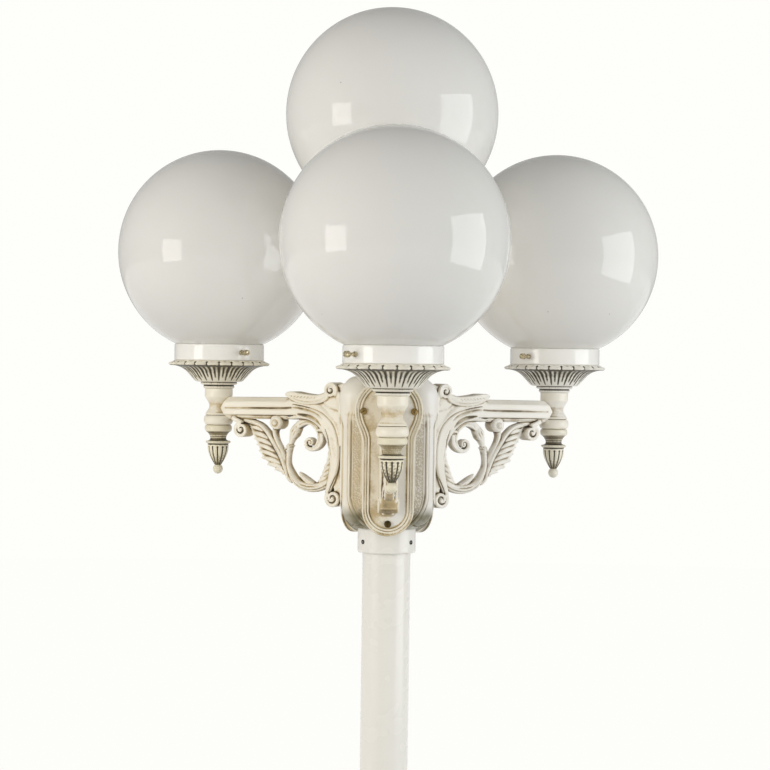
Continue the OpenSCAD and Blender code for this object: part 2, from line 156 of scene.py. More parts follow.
# ---------------------------------------------------------------- signed-distance sculpting (all in mm)
def surface_nets(F, origin, h):
    F = F.astype(np.float32)
    S = F < 0
    nx, ny, nz = F.shape
    c = np.zeros((nx - 1, ny - 1, nz - 1), np.int8)
    for dx in (0, 1):
        for dy in (0, 1):
            for dz in (0, 1):
                c += S[dx:nx - 1 + dx, dy:ny - 1 + dy, dz:nz - 1 + dz]
    act = (c > 0) & (c < 8)
    I = np.argwhere(act)
    idx = np.full(act.shape, -1, np.int32)
    idx[act] = np.arange(len(I), dtype=np.int32)
    P = np.zeros((len(I), 3))
    W = np.zeros(len(I))
    corners = [(a, b, d) for a in (0, 1) for b in (0, 1) for d in (0, 1)]
    val = {k: F[I[:, 0] + k[0], I[:, 1] + k[1], I[:, 2] + k[2]].astype(float) for k in corners}
    for k in corners:
        for ax in range(3):
            if k[ax] == 0:
                m = list(k); m[ax] = 1; m = tuple(m)
                a, b = val[k], val[m]
                cross = (a < 0) != (b < 0)
                t = np.where(cross, a / np.where(cross, a - b, 1), 0)
                p = np.zeros((len(I), 3))
                for q in range(3):
                    p[:, q] = k[q]
                p[:, ax] = t
                P += np.where(cross[:, None], p, 0)
                W += cross
    P = P / W[:, None] + I
    Q = []
    for ax in range(3):
        a = [slice(None)] * 3; b = [slice(None)] * 3
        a[ax] = slice(0, -1); b[ax] = slice(1, None)
        sa, sb = S[tuple(a)], S[tuple(b)]
        o1, o2 = [q for q in range(3) if q != ax]
        cross = sa != sb
        E = np.argwhere(cross)
        ok = (E[:, o1] > 0) & (E[:, o2] > 0) & (E[:, o1] < F.shape[o1] - 1) & (E[:, o2] < F.shape[o2] - 1)
        E = E[ok]
        quad = []
        for d1, d2 in ((-1, -1), (0, -1), (0, 0), (-1, 0)):
            T = E.copy(); T[:, o1] += d1; T[:, o2] += d2
            quad.append(idx[T[:, 0], T[:, 1], T[:, 2]])
        quad = np.stack(quad, 1)
        inside_first = sa[E[:, 0], E[:, 1], E[:, 2]]
        flip = inside_first if ax == 1 else ~inside_first
        quad[flip] = quad[flip][:, ::-1]
        Q.append(quad)
    Q = np.concatenate(Q)
    V = P * h + np.asarray(origin)
    return V, Q

def smin(a, b, k):
    if k <= 0:
        return np.minimum(a, b)
    t = np.maximum(k - np.abs(a - b), 0) / k
    return np.minimum(a, b) - t * t * k * 0.25

def smax(a, b, k):
    return -smin(-a, -b, k)

def catmull(P, n=10):
    P = np.asarray(P, float)
    out = []
    for i in range(len(P) - 1):
        a, b, c, d = P[max(i - 1, 0)], P[i], P[i + 1], P[min(i + 2, len(P) - 1)]
        for t in np.arange(n) / n:
            out.append(0.5 * (2 * b + (c - a) * t + (2 * a - 5 * b + 4 * c - d) * t * t + (3 * b - a - 3 * c + d) * t ** 3))
    out.append(P[-1])
    return np.array(out)

def coil(c, radii, a0, a1, w, n=70):
    """(u, z, half width) samples of a volute; radii and w are (start ... end) lists"""
    t = np.linspace(0, 1, n)
    a = np.radians(a0 + (a1 - a0) * t)
    r = np.interp(t, np.linspace(0, 1, len(radii)), radii)
    ww = np.interp(t, np.linspace(0, 1, len(w)), w)
    return np.stack([c[0] + r * np.cos(a), c[1] + r * np.sin(a), ww], 1)

def near(P, A, B):
    """distance from every point of the 2D grid (A, B) to the stroke P, and the stroke's half width there"""
    best = np.full(A.shape, 1e9); D = np.full(A.shape, 1e9); R = np.zeros(A.shape); T = np.zeros(A.shape)
    n = len(P) - 1
    for i in range(n):
        p, q = P[i], P[i + 1]
        d = q[:2] - p[:2]
        L = max(float(d @ d), 1e-9)
        t = np.clip(((A - p[0]) * d[0] + (B - p[1]) * d[1]) / L, 0, 1)
        dist = np.hypot(A - p[0] - t * d[0], B - p[1] - t * d[1])
        r = p[2] + (q[2] - p[2]) * t
        m = dist - r < best
        best = np.where(m, dist - r, best); D = np.where(m, dist, D); R = np.where(m, r, R); T = np.where(m, (i + t) / n, T)
    return D, R, T

def poly_sd(P, A, B):
    """signed distance to a closed 2D outline"""
    P = np.asarray(P, float)[:, :2]
    d = np.full(A.shape, 1e9); s = np.ones(A.shape)
    n = len(P)
    for i in range(n):
        a, b = P[i], P[i - 1]
        e = b - a
        wx, wy = A - a[0], B - a[1]
        t = np.clip((wx * e[0] + wy * e[1]) / max(float(e @ e), 1e-9), 0, 1)
        d = np.minimum(d, (wx - e[0] * t) ** 2 + (wy - e[1] * t) ** 2)
        c1 = B >= a[1]; c2 = B < b[1]; c3 = e[0] * wy > e[1] * wx
        s = np.where((c1 & c2 & c3) | (~c1 & ~c2 & ~c3), -s, s)
    return s * np.sqrt(d)

STEP = 0.8

class Relief:
    """a casting that is the same on both sides of its own middle plane: a = outwards, b = up, v = across"""
    def __init__(self, a0, a1, b0, b1, vmax, h):
        self.h = h
        self.a = np.arange(a0, a1, h); self.b = np.arange(b0, b1, h); self.v = np.arange(0, vmax, h)
        self.A, self.B = np.meshgrid(self.a, self.b, indexing="ij")
        self.F = np.full((len(self.a), len(self.b), len(self.v)), 40.0, np.float32)

    def cut(self, lo, hi, vm):
        i0, i1 = np.searchsorted(self.a, [lo[0], hi[0]]); j0, j1 = np.searchsorted(self.b, [lo[1], hi[1]])
        k1 = max(int(np.searchsorted(self.v, vm)), 2)
        return slice(max(i0 - 1, 0), i1 + 1), slice(max(j0 - 1, 0), j1 + 1), slice(0, k1)

    def around(self, P, m, vm):
        P = np.asarray(P)
        return self.cut(P[:, :2].min(0) - m, P[:, :2].max(0) + m, vm)

    def put(self, s, f, k):
        self.F[s] = smin(self.F[s], f.astype(np.float32), k)

    def take(self, s, f, k):
        self.F[s] = smax(self.F[s], -f.astype(np.float32), k)

    def rod(self, P, kv=1.0, k=1.2, n=8):
        P = catmull(P, n) if n else P
        r = float(P[:, 2].max())
        s = self.around(P, r + 5, r * kv + 6)
        D, R, _ = near(P, self.A[s[:2]], self.B[s[:2]])
        V = self.v[None, None, s[2]]
        self.put(s, np.sqrt(D[..., None] ** 2 + (V / kv) ** 2) - R[..., None], k)

    def strip(self, P, hv, e=1.5, k=1.0, n=8):
        P = catmull(P, n) if n else P
        s = self.around(P, float(P[:, 2].max()) + 5, hv + 6)
        D, R, _ = near(P, self.A[s[:2]], self.B[s[:2]])
        self.put(s, self.box(D - R, hv, e, s), k)

    def box(self, d2, hv, e, s):
        a = d2[..., None] + e
        b = self.v[None, None, s[2]] - (hv[..., None] if isinstance(hv, np.ndarray) else hv) + e
        return np.sqrt(np.maximum(a, 0) ** 2 + np.maximum(b, 0) ** 2) + np.minimum(np.maximum(a, b), 0) - e

    def slab(self, outline, hv, e=1.5, k=1.0, n=6):
        P = np.asarray(outline, float)
        s = self.around(P, 6, hv + 6)
        self.put(s, self.box(poly_sd(P, self.A[s[:2]], self.B[s[:2]]), hv, e, s), k)

    def disc(self, c, r, hv, e=1.5, k=1.0, dome=0.0):
        s = self.cut((c[0] - r - 5, c[1] - r - 5), (c[0] + r + 5, c[1] + r + 5), hv + dome + 6)
        d = np.hypot(self.A[s[:2]] - c[0], self.B[s[:2]] - c[1])
        hh = hv + dome * np.clip(1 - (d / r) ** 2, 0, 1) if dome else hv
        self.put(s, self.box(d - r, hh, e, s), k)

    def ball(self, c, r, v=0.0, k=0.8):
        s = self.cut((c[0] - r - 4, c[1] - r - 4), (c[0] + r + 4, c[1] + r + 4), v + r + 4)
        d2 = (self.A[s[:2]] - c[0]) ** 2 + (self.B[s[:2]] - c[1]) ** 2
        self.put(s, np.sqrt(d2[..., None] + (self.v[None, None, s[2]] - v) ** 2) - r, k)

    def groove(self, P, face, k=0.7, n=8, sharp=1.0):
        P = catmull(P, n) if n else P
        r = float(P[:, 2].max())
        s = self.around(P, r + 4, face + r + 5)
        D, R, _ = near(P, self.A[s[:2]], self.B[s[:2]])
        V = self.v[None, None, s[2]]
        self.take(s, np.sqrt((D[..., None] * sharp) ** 2 + (V - face) ** 2) - R[..., None], k)

    def mesh(self):
        F = np.concatenate([self.F[:, :, :0:-1], self.F], axis=2)
        V, Q = surface_nets(F, (self.a[0], self.b[0], -self.v[-1]), self.h)
        V = relax(V, edges_of(Q), 1, 0.5)
        return V, Q


def petal(base, tip, r, bend=0.0, w=(0.62, 1.0, 0.92, 0.28)):
    """control points of one leaf lobe that leaves base and ends at tip, bowed sideways by bend"""
    b, t = np.array(base, float), np.array(tip, float)
    d = t - b
    nrm = np.array([-d[1], d[0]]) / max(np.hypot(*d), 1e-6)
    return [[*(b + d * s + nrm * bend * 4 * s * (1 - s)), r * ww] for s, ww in zip((0, 0.35, 0.72, 1.0), w)]


def sculpt_arm(h):
    g = Relief(35.0, 234.0, -225.0, -33.0, 46.0, h)
    A, B = g.A, g.B
    # keyhole plate with a double bead along its edge
    Bz, Vv = np.meshgrid(g.b, g.v, indexing="ij")
    head = np.hypot(Vv, Bz + 76) - 39.6
    foot = np.where(Bz > -191, Vv, np.hypot(Vv, Bz + 191)) - 30.2
    foot = np.maximum(foot, Bz + 66)
    sd = smin(head, foot, 9.0)
    sd = sd[None, :, :]
    ua = g.a[:, None, None]
    a = sd + 1.0
    b = ua - 44.6 + 1.0
    plate = np.sqrt(np.maximum(a, 0) ** 2 + np.maximum(b, 0) ** 2) + np.minimum(np.maximum(a, b), 0) - 1.0
    for off, rb in ((1.3, 1.45), (4.0, 1.2), (7.2, 1.1)):
        plate = smin(plate, np.sqrt((sd + off) ** 2 + (ua - 45.0) ** 2) - rb, 0.25)
    plate = np.maximum(plate, 36.6 - ua)
    g.F = np.minimum(g.F, plate.astype(np.float32))
    # beam: an eight-sided moulding with a groove along the middle of each side
    s = g.cut((96, -98), (234, -60), 16)
    mid = -76.4 - 0.016 * (A[s[:2]] - 136)
    Z = np.abs(B[s[:2]] - mid)[..., None]; V = g.v[None, None, s[2]]
    f = smax(smax(Z - 13.4, V - 11.0, 0.6), (Z + V) * 0.7071 - 13.2, 0.6)
    f = smax(f, (102 - A[s[:2]])[..., None], 2.0)
    f = smax(f, ((A[s[:2]] - 229.5)[..., None] + 0.62 * Z) * 0.85, 1.2)
    g.put(s, f, 2.0)
    # solid back of the arm; it carries the beam into the spine
    g.slab([(37, -196), (37, -46), (58, -45), (67, -47), (78, -54), (96, -60), (122, -62), (122, -88), (104, -90), (90, -97), (80, -108), (74, -122), (72, -160), (66, -188), (56, -196)], 7.2, 2.0, 1.5)
    g.strip([[128, -77, 12.4], [114, -76.5, 12.0], [100, -79, 11.4], [88, -86, 10.6], [78.5, -96, 9.8], [72, -108, 9.0], [68.6, -121, 8.0], [67.4, -135, 6.9], [68.6, -148, 6.0], [71.8, -160, 5.0], [75.2, -170, 3.9], [77.4, -178, 2.9], [76.8, -186, 2.2]], 10.8, 2.6, 1.2)
    g.slab([(60, -60), (66, -64), (82, -66), (110, -68), (110, -84), (84, -90), (70, -104), (61, -120), (56, -120), (52, -70)], 9.8, 2.5, 2.0)
    g.slab([(56, -56), (66, -55), (82, -58), (86, -66), (76, -74), (58, -78)], 10.6, 2.0, 1.6)
    # volutes at the two ends of the spine
    g.disc((73.0, -53.4), 7.0, 9.0, 1.0)
    g.strip(coil((73.0, -53.4), [7.6, 7.4, 6.6, 5.2, 3.5, 1.7], 220, -430, [2.1, 1.9, 1.5, 1.1]), 12.2, 0.9, 0.4, n=0)
    g.ball((73.0, -53.4), 1.7, 10.6)
    g.strip([[60.5, -74, 3.6], [60.8, -65, 3.2], [63.6, -58, 2.8], [67.6, -52.6, 2.3]], 11.0, 1.2, 1.2)
    g.disc((68.6, -182.3), 8.0, 9.6, 1.0)
    g.strip(coil((68.6, -182.3), [8.8, 8.4, 7.3, 5.7, 3.9, 1.9], 35, -500, [2.3, 2.1, 1.8, 1.3]), 12.4, 1.0, 0.4, n=0)
    g.ball((68.6, -182.3), 2.3, 10.6)
    # leaf that lies on top of the beam
    top = catmull([(136.6, -59.2, 0), (133, -56.6, 0), (126.4, -56.0, 0), (112.4, -58.2, 0), (95, -59.4, 0), (84.5, -58.2, 0), (77.6, -55.6, 0), (75.5, -61, 0), (78.0, -65.0, 0), (87.8, -69.4, 0), (104, -70.8, 0), (119, -68.8, 0), (129.8, -64.8, 0), (136.2, -60.6, 0)], 4)
    g.slab(top, 12.4, 1.3, 0.4)
    for i in range(8):
        x = 94 + 4.6 * i
        g.groove([[x, -62.6 + 0.18 * i, 1.0], [x + 2.6, -64.0 + 0.22 * i, 0.8]], 12.5, 0.2, n=2)
    g.groove([[133, -60.6, 0.5], [120, -65.6, 0.9], [104, -67.8, 1.0], [88, -66.2, 0.9], [80, -62.0, 0.6]], 12.6, 0.3)
    g.groove([[131, -58.6, 0.4], [118, -59.6, 0.7], [100, -61.6, 0.7], [86, -61.0, 0.5]], 12.6, 0.3)
    # mouldings along the sweep
    g.groove([[126, -71.4, 0.4], [118.6, -72.2, 0.7], [102.8, -75.0, 0.8], [87.1, -80.0, 0.9], [74.8, -88.2, 0.9], [67.8, -97.6, 0.9], [63.3, -110, 0.9], [61.4, -126, 0.8], [61.6, -142, 0.7]], 10.6, 0.3)
    g.groove([[126, -75.4, 0.7], [116.8, -75.8, 1.4], [102.7, -78.6, 1.8], [92, -82.4, 1.6], [84, -88.0, 0.8]], 11.2, 0.4)
    g.groove([[222, -77.8, 1.1], [180, -77.1, 1.5], [145, -76.5, 1.6], [128, -75.6, 1.2]], 11.2, 0.4)
    g.groove([[222, -71.2, 0.4], [180, -70.4, 0.7], [140, -69.8, 0.6]], 11.2, 0.3)
    g.groove([[222, -86.9, 0.7], [180, -86.2, 1.1], [136, -85.6, 1.2], [122, -84.4, 0.7]], 9.6, 0.4)
    g.groove([[118, -83.0, 0.8], [111.4, -84.0, 1.9], [101, -86.0, 2.5], [93, -90.0, 2.2], [86.6, -95.6, 1.0]], 11.0, 0.5)
    g.groove([[60.8, -146, 0.6], [63.4, -153, 0.8], [68.0, -161, 0.8], [72.4, -170, 0.8], [74.4, -177, 0.5]], 9.6, 0.3)
    g.groove([[74.2, -118, 0.4], [72.4, -130, 0.7], [72.4, -142, 0.8], [74.6, -154, 0.8], [77.4, -163, 0.5]], 10.6, 0.3)
    g.groove([[80, -100, 0.5], [76, -112, 0.7], [74.6, -126, 0.6]], 10.0, 0.3)
    # leaf with pointed lobes on the inner side of the spine
    g.slab([(72, -114), (78.4, -117), (78.6, -128), (80.4, -137), (83.4, -145), (86, -151), (88.4, -157), (92, -162), (90, -168), (78, -172), (68, -160), (68, -130)], 5.6, 2.0, 1.0)
    for base, tip, r in (((74.5, -121), (80.8, -131.6), 2.3), ((73.5, -128), (82.4, -139.6), 2.5), ((73, -134), (86.0, -146.4), 2.6), ((73, -141), (88.4, -152.4), 2.6), ((74, -148), (91.6, -158.8), 2.6), ((77, -155), (94.5, -163.6), 2.5)):
        g.rod(petal(base, tip, r, -0.9), 2.6, 0.2)
        g.groove(petal(base, tip, 0.55, -0.9), 2.55 * r, 0.2, sharp=0.9)
    # long stem that sweeps round the foot
    stem = [[134.8, -125.5, 3.6], [136, -136, 3.2], [135.6, -145, 3.6], [131.8, -153.5, 4.3], [126.6, -161.4, 5.1], [119, -167.2, 5.6], [105.5, -170.6, 5.9], [92.2, -169.6, 5.6], [82, -164.8, 5.4], [74, -158, 4.2]]
    g.rod(stem, 1.4, 1.0)
    g.rod([[138.6, -152, 2.6], [135.6, -160, 3.0], [131.6, -164.8, 2.2], [134.8, -164.2, 0.7]], 2.0, 0.6)
    g.rod(petal((96, -168), (120.4, -153.4), 3.9, -1.9), 1.6, 0.3)
    g.groove(petal((98, -167.4), (117.6, -155.4), 0.7, -1.9), 6.2, 0.2)
    g.groove([[134.6, -141, 0.5], [130.6, -152, 0.9], [124.6, -160.6, 1.1], [116, -166.6, 1.2], [104, -169.4, 1.2], [91, -168.0, 1.1], [82, -163.0, 0.8]], 7.9, 0.3)
    g.groove([[136.4, -146, 0.5], [132.4, -156.4, 0.8], [124.4, -165.8, 0.9], [113, -172.4, 1.0], [100, -173.8, 1.0], [88, -171.4, 0.9], [80, -167, 0.6]], 6.4, 0.3)
    g.ball((135.2, -123.8), 5.0)
    g.rod([[131.0, -121.6, 1.4], [139.6, -125.8, 1.4]], 4.2, 0.3, n=2)
    # bud and the scroll that grows out of it
    g.rod([[133.2, -119.5, 3.0], [131.4, -113.6, 4.3], [128.6, -107.4, 6.0], [125.6, -102.2, 6.9], [122.6, -98.0, 5.2]], 1.05, 0.4)
    for P in ([[131.4, -116, 0.5], [130.4, -109, 0.9], [127.6, -102, 0.9], [125.6, -98, 0.5]], [[129.4, -114, 0.5], [126.4, -107.6, 0.9], [122.6, -102.6, 0.8], [119.6, -99.4, 0.5]]):
        g.groove(P, 7.0, 0.3, n=5)
    for dx, dz, r in ((4.4, 2.2, 2.6), (0.4, -0.6, 2.8), (-3.6, -3.4, 2.6)):
        g.rod([[130.8 + dx * 0.2, -112.4 + dz * 0.3, 1.4], [127.4 + dx * 0.8, -105.4 + dz * 0.9, r], [124.2 + dx, -98.8 + dz, 0.8]], 2.5, 0.2, n=5)
    scroll = [[121.4, -96.4, 4.4], [116.0, -92.9, 4.6], [109.9, -91.0, 4.6], [103.6, -91.4, 4.7], [98.0, -94.6, 4.6], [93.2, -99.6, 4.5], [90.2, -106.2, 4.7], [90.0, -113.4, 4.6], [92.9, -119.4, 4.0], [97.4, -123.4, 3.1], [102.8, -125.0, 2.5], [107.8, -123.4, 2.3], [110.4, -119.2, 2.1], [109.6, -114.8, 1.9], [106.0, -112.4, 1.7], [102.2, -113.4, 1.5], [100.8, -116.6, 1.4], [102.4, -119.4, 1.2], [105.0, -119.2, 1.1]]
    g.strip(scroll, 6.0, 1.8, 0.4)
    P = catmull(scroll[:11], 8)
    d = np.gradient(P[:, :2], axis=0); nrm = np.stack([-d[:, 1], d[:, 0]], 1) / np.linalg.norm(d, axis=1)[:, None]
    edge = P.copy(); edge[:, :2] += nrm * (P[:, 2:3] * 0.30); edge[:, 2] = 0.95
    g.groove(edge[4:-2], 6.3, 0.3, n=0)
    g.disc((104.6, -117.4), 3.0, 4.4, 0.8, 0.6)
    g.rod([[92.0, -101.6, 2.8], [87.0, -101.4, 3.4], [81.6, -103.0, 3.0], [77, -107.4, 2.4]], 2.9, 0.6)
    g.groove([[89.6, -97.4, 0.6], [86.0, -103.6, 0.9], [86.2, -109.0, 0.6]], 8.0, 0.2, n=5)
    # curl and roll under the beam
    g.disc((199.7, -103.6), 6.6, 8.0, 1.0)
    g.strip(coil((199.7, -103.6), [8.1, 7.8, 7.0, 5.5, 3.7, 1.9], 75, -440, [2.2, 2.0, 1.7, 1.3]), 11.0, 0.9, 0.4, n=0)
    g.ball((199.7, -103.6), 2.0, 9.2)
    g.strip([[210.6, -90.6, 3.0], [205.6, -92.4, 2.6], [200.6, -94.2, 2.3]], 10.6, 1.2, 0.8)
    g.disc((150.6, -93.6), 8.8, 9.4, 2.4, 0.8, 1.6)
    g.ball((150.6, -94.4), 3.4, 10.2, 0.2)
    # branch and acanthus leaf
    g.rod([[152.6, -98, 4.4], [155.2, -106, 3.7], [152.8, -115, 3.3], [147.4, -124.6, 3.3], [142.0, -135, 3.3], [138.6, -147, 3.2]], 1.5, 0.3)
    g.slab([(192, -96), (188.6, -106), (184.2, -114), (180, -120.6), (176.6, -128.6), (172, -137), (163, -144), (152.6, -150), (142, -154.6), (136, -158), (138, -140), (148, -124), (160, -108), (172, -98)], 2.6, 1.2, 0.6)
    tips = ((191.5, -101.0, 168.6, -105.6), (189.4, -107.6, 163.4, -114.4), (185.9, -114.6, 158.4, -122.4), (182.4, -121.6, 154.2, -130.2), (178.9, -129.4, 149.8, -137.2), (175.0, -137.6, 146.0, -144.2), (167.0, -145.2, 142.2, -150.0), (156.4, -151.2, 139.2, -154.6), (145.6, -156.0, 137.0, -158.6))
    for i, (tu, tz, bu, bz) in enumerate(tips):
        r = 3.5 if i < 7 else 3.0 if i < 8 else 2.4
        mu, mz = 0.5 * (tu + bu), 0.5 * (tz + bz) + 2.3
        g.rod([[bu, bz, 2.0], [0.35 * tu + 0.65 * bu, 0.35 * tz + 0.65 * bz + 1.9, r], [0.72 * tu + 0.28 * bu, 0.72 * tz + 0.28 * bz + 1.8, r * 0.86], [tu, tz, 0.75]], 1.35, 0.12, n=6)
        g.groove([[bu + 1, bz + 0.6, 0.5], [mu, mz - 0.2, 0.75], [0.86 * tu + 0.14 * bu, 0.86 * tz + 0.14 * bz + 0.9, 0.5]], 1.38 * r, 0.15, n=5, sharp=0.9)
    g.rod([[205.6, -92.4, 2.6], [197, -92.2, 3.2], [187, -94.2, 3.5], [175, -98.0, 3.4], [166.4, -105.0, 3.4], [159.4, -113.8, 3.6], [151.4, -125, 3.8], [144.6, -136, 3.8], [139.6, -148, 3.6], [136, -158, 2.8]], 1.75, 0.3)
    g.groove([[200, -92.8, 0.5], [187, -95.6, 0.9], [175.4, -99.8, 1.0], [166.8, -107.2, 1.0], [159.6, -116.2, 1.0], [151.8, -127.2, 1.0], [145.2, -138.2, 0.9], [140.6, -149, 0.6]], 6.0, 0.25)
    return g.mesh()


def sculpt_column(h):
    x = np.arange(-64, 64 + h, h); z = np.arange(-224, -34, h)
    X, Y = np.meshgrid(x, x, indexing="ij")
    X3, Y3, Z3 = X[..., None], Y[..., None], z[None, None, :]
    F = (np.hypot(X, Y)[..., None] - 40 + 0 * Z3)
    F = smax(F, np.maximum(Z3 + 48, -214 - Z3), 2.0)
    top, low, w = -86.0, -172.0, 47.0
    for a in (0, 120, 240):
        t = math.radians(-a)
        xr = X3 * math.cos(t) - Y3 * math.sin(t); yr = X3 * math.sin(t) + Y3 * math.cos(t)
        # this panel looks towards -y in its own frame
        zz = np.where(Z3 > top, Z3 - top, np.where(Z3 < low, Z3 - low, 0.0))
        sd = np.hypot(xr, zz) - w
        face = -yr - 37.0
        e = 1.2
        p, q = sd + e, face + e
        slab = np.sqrt(np.maximum(p, 0) ** 2 + np.maximum(q, 0) ** 2) + np.minimum(np.maximum(p, q), 0) - e
        slab = smax(slab, 22 + yr, 1.0)
        for off, rb in ((1.7, 1.6), (5.2, 1.0), (14.5, 1.3), (18.0, 1.0)):
            slab = smin(slab, np.sqrt((sd + off) ** 2 + (face + 0.2) ** 2) - rb, 0.6)
        F = smin(F, slab, 0.8)
        # smooth rounded corner with a swelling at the shoulder
        t = math.radians(-(a + 60))
        xr = X3 * math.cos(t) - Y3 * math.sin(t); yr = X3 * math.sin(t) + Y3 * math.cos(t)
        k1 = np.sqrt(xr ** 2 + (yr + 39) ** 2 + np.maximum(np.maximum(Z3 + 58, -191 - Z3), 0) ** 2) - 19.5
        k2 = np.sqrt(xr ** 2 + (yr + 43) ** 2 + np.maximum(np.maximum(Z3 + 58.5, -75 - Z3), 0) ** 2) - 19.6
        F = smin(F, smin(k1, k2, 7.0), 1.2)
    # room for the cap
    F = smax(F, -np.maximum(np.hypot(X, Y)[..., None] - 28.2, -48 - Z3), 0.5)
    V, Q = surface_nets(F.astype(np.float32), (x[0], x[0], z[0]), h)
    return relax(V, edges_of(Q), 1, 0.5), Q


# ---------------------------------------------------------------- turned shapes
def dense(profile, step):
    """a lathe profile with points no further apart than step (mm)"""
    out = [profile[0]]
    for a, b in zip(profile, profile[1:]):
        n = max(int(math.ceil(math.hypot(b[0] - a[0], b[1] - a[1]) / step)), 1)
        for i in range(1, n + 1):
            out.append((a[0] + (b[0] - a[0]) * i / n, a[1] + (b[1] - a[1]) * i / n))
    return np.array(out, float)


def lathe(profile, seg, mod=None, closed=False):
    """turned mesh of a profile of (r, z) in mm; the ends at r = 0 are closed with a small cap. mod bends r and z with the angle."""
    P = np.asarray(profile, float)
    th = np.arange(seg) * 2 * math.pi / seg
    R = np.repeat(P[:, 0][:, None], seg, 1); Z = np.repeat(P[:, 1][:, None], seg, 1)
    T = np.repeat(th[None, :], len(P), 0)
    if mod:
        R, Z = mod(R, Z, T)
    V = np.stack([R * np.cos(T), R * np.sin(T), Z], -1).reshape(-1, 3)
    n = len(P)
    i = np.arange(n - 1 + (1 if closed else 0))[:, None]; j = np.arange(seg)[None, :]
    i2 = (i + 1) % n; j2 = (j + 1) % seg
    Q = np.stack([i * seg + j, i * seg + j2, i2 * seg + j2, i2 * seg + j], -1).reshape(-1, 4)
    if not closed:
        # the first and last rings are small enough to close with one quad fan folded into quads
        extra = []
        for ring, flip in ((0, True), (n - 1, False)):
            c = len(V)
            V = np.vstack([V, [[0, 0, P[ring, 1]]]])
            a = ring * seg + np.arange(0, seg, 2); b = ring * seg + (np.arange(0, seg, 2) + 1) % seg; d = ring * seg + (np.arange(0, seg, 2) + 2) % seg
            q = np.stack([np.full(seg // 2, c), a, b, d], 1)
            extra.append(q[:, ::-1] if flip else q)
        Q = np.vstack([Q] + extra)
    return V, outward(V, Q)


def join_parts(parts):
    Vs, Qs, n = [], [], 0
    for V, Q in parts:
        Vs.append(V); Qs.append(Q + n); n += len(V)
    return np.vstack(Vs), np.vstack(Qs)


def turned(V, Q, spin=None, tilt=None, at=(0, 0, 0)):
    """moves a mesh in mm: tilt is a 3x3 matrix"""
    V = np.asarray(V, float)
    if tilt is not None:
        V = V @ np.asarray(tilt).T
    return V + np.asarray(at), Q


def bead(r, z0, z1, out, n=6):
    """half-round moulding between two heights"""
    return [(r + out * math.sin(math.pi * i / n), z0 + (z1 - z0) * (1 - math.cos(math.pi * i / n)) / 2) for i in range(n + 1)]


# ---------------------------------------------------------------- materials
def new_mat(name):
    m = bpy.data.materials.new(name)
    m.use_nodes = True
    nt = m.node_tree
    b = nt.nodes["Principled BSDF"]
    return m, nt, b


def N(nt, kind, **kw):
    n = nt.nodes.new(kind)
    for k, v in kw.items():
        setattr(n, k, v)
    return n


def noise(nt, co, scale, detail=3.0, rough=0.55):
    n = N(nt, "ShaderNodeTexNoise")
    n.inputs["Scale"].default_value = scale
    n.inputs["Detail"].default_value = detail
    n.inputs["Roughness"].default_value = rough
    nt.links.new(co, n.inputs["Vector"])
    return n.outputs["Fac"]


def math_node(nt, op, a, b=None, c=None):
    n = N(nt, "ShaderNodeMath", operation=op)
    for i, v in enumerate((a, b, c)):
        if v is None:
            continue
        if isinstance(v, (int, float)):
            n.inputs[i].default_value = v
        else:
            nt.links.new(v, n.inputs[i])
    return n.outputs[0]


def ramp(nt, v, lo, hi, out_lo=0.0, out_hi=1.0, smooth=True):
    n = N(nt, "ShaderNodeMapRange")
    n.interpolation_type = "SMOOTHSTEP" if smooth else "LINEAR"
    n.inputs["From Min"].default_value = lo
    n.inputs["From Max"].default_value = hi
    n.inputs["To Min"].default_value = out_lo
    n.inputs["To Max"].default_value = out_hi
    nt.links.new(v, n.inputs["Value"])
    return n.outputs["Result"]


def mix(nt, f, a, b):
    n = N(nt, "ShaderNodeMix", data_type="RGBA")
    for sock, v in ((n.inputs[0], f), (n.inputs[6], a), (n.inputs[7], b)):
        if isinstance(v, (int, float)):
            sock.default_value = v
        elif isinstance(v, tuple):
            sock.default_value = v
        else:
            nt.links.new(v, sock)
    return n.outputs[2]


def bump(nt, b, height, strength, dist):
    n = N(nt, "ShaderNodeBump")
    n.inputs["Strength"].default_value = strength
    n.inputs["Distance"].default_value = dist
    nt.links.new(height, n.inputs["Height"])
    nt.links.new(n.outputs["Normal"], b.inputs["Normal"])
    return n


def attr(nt, name):
    n = N(nt, "ShaderNodeAttribute", attribute_name=name)
    n.attribute_type = "GEOMETRY"
    return n.outputs["Fac"]


def coords(nt):
    return N(nt, "ShaderNodeTexCoord").outputs["Object"]


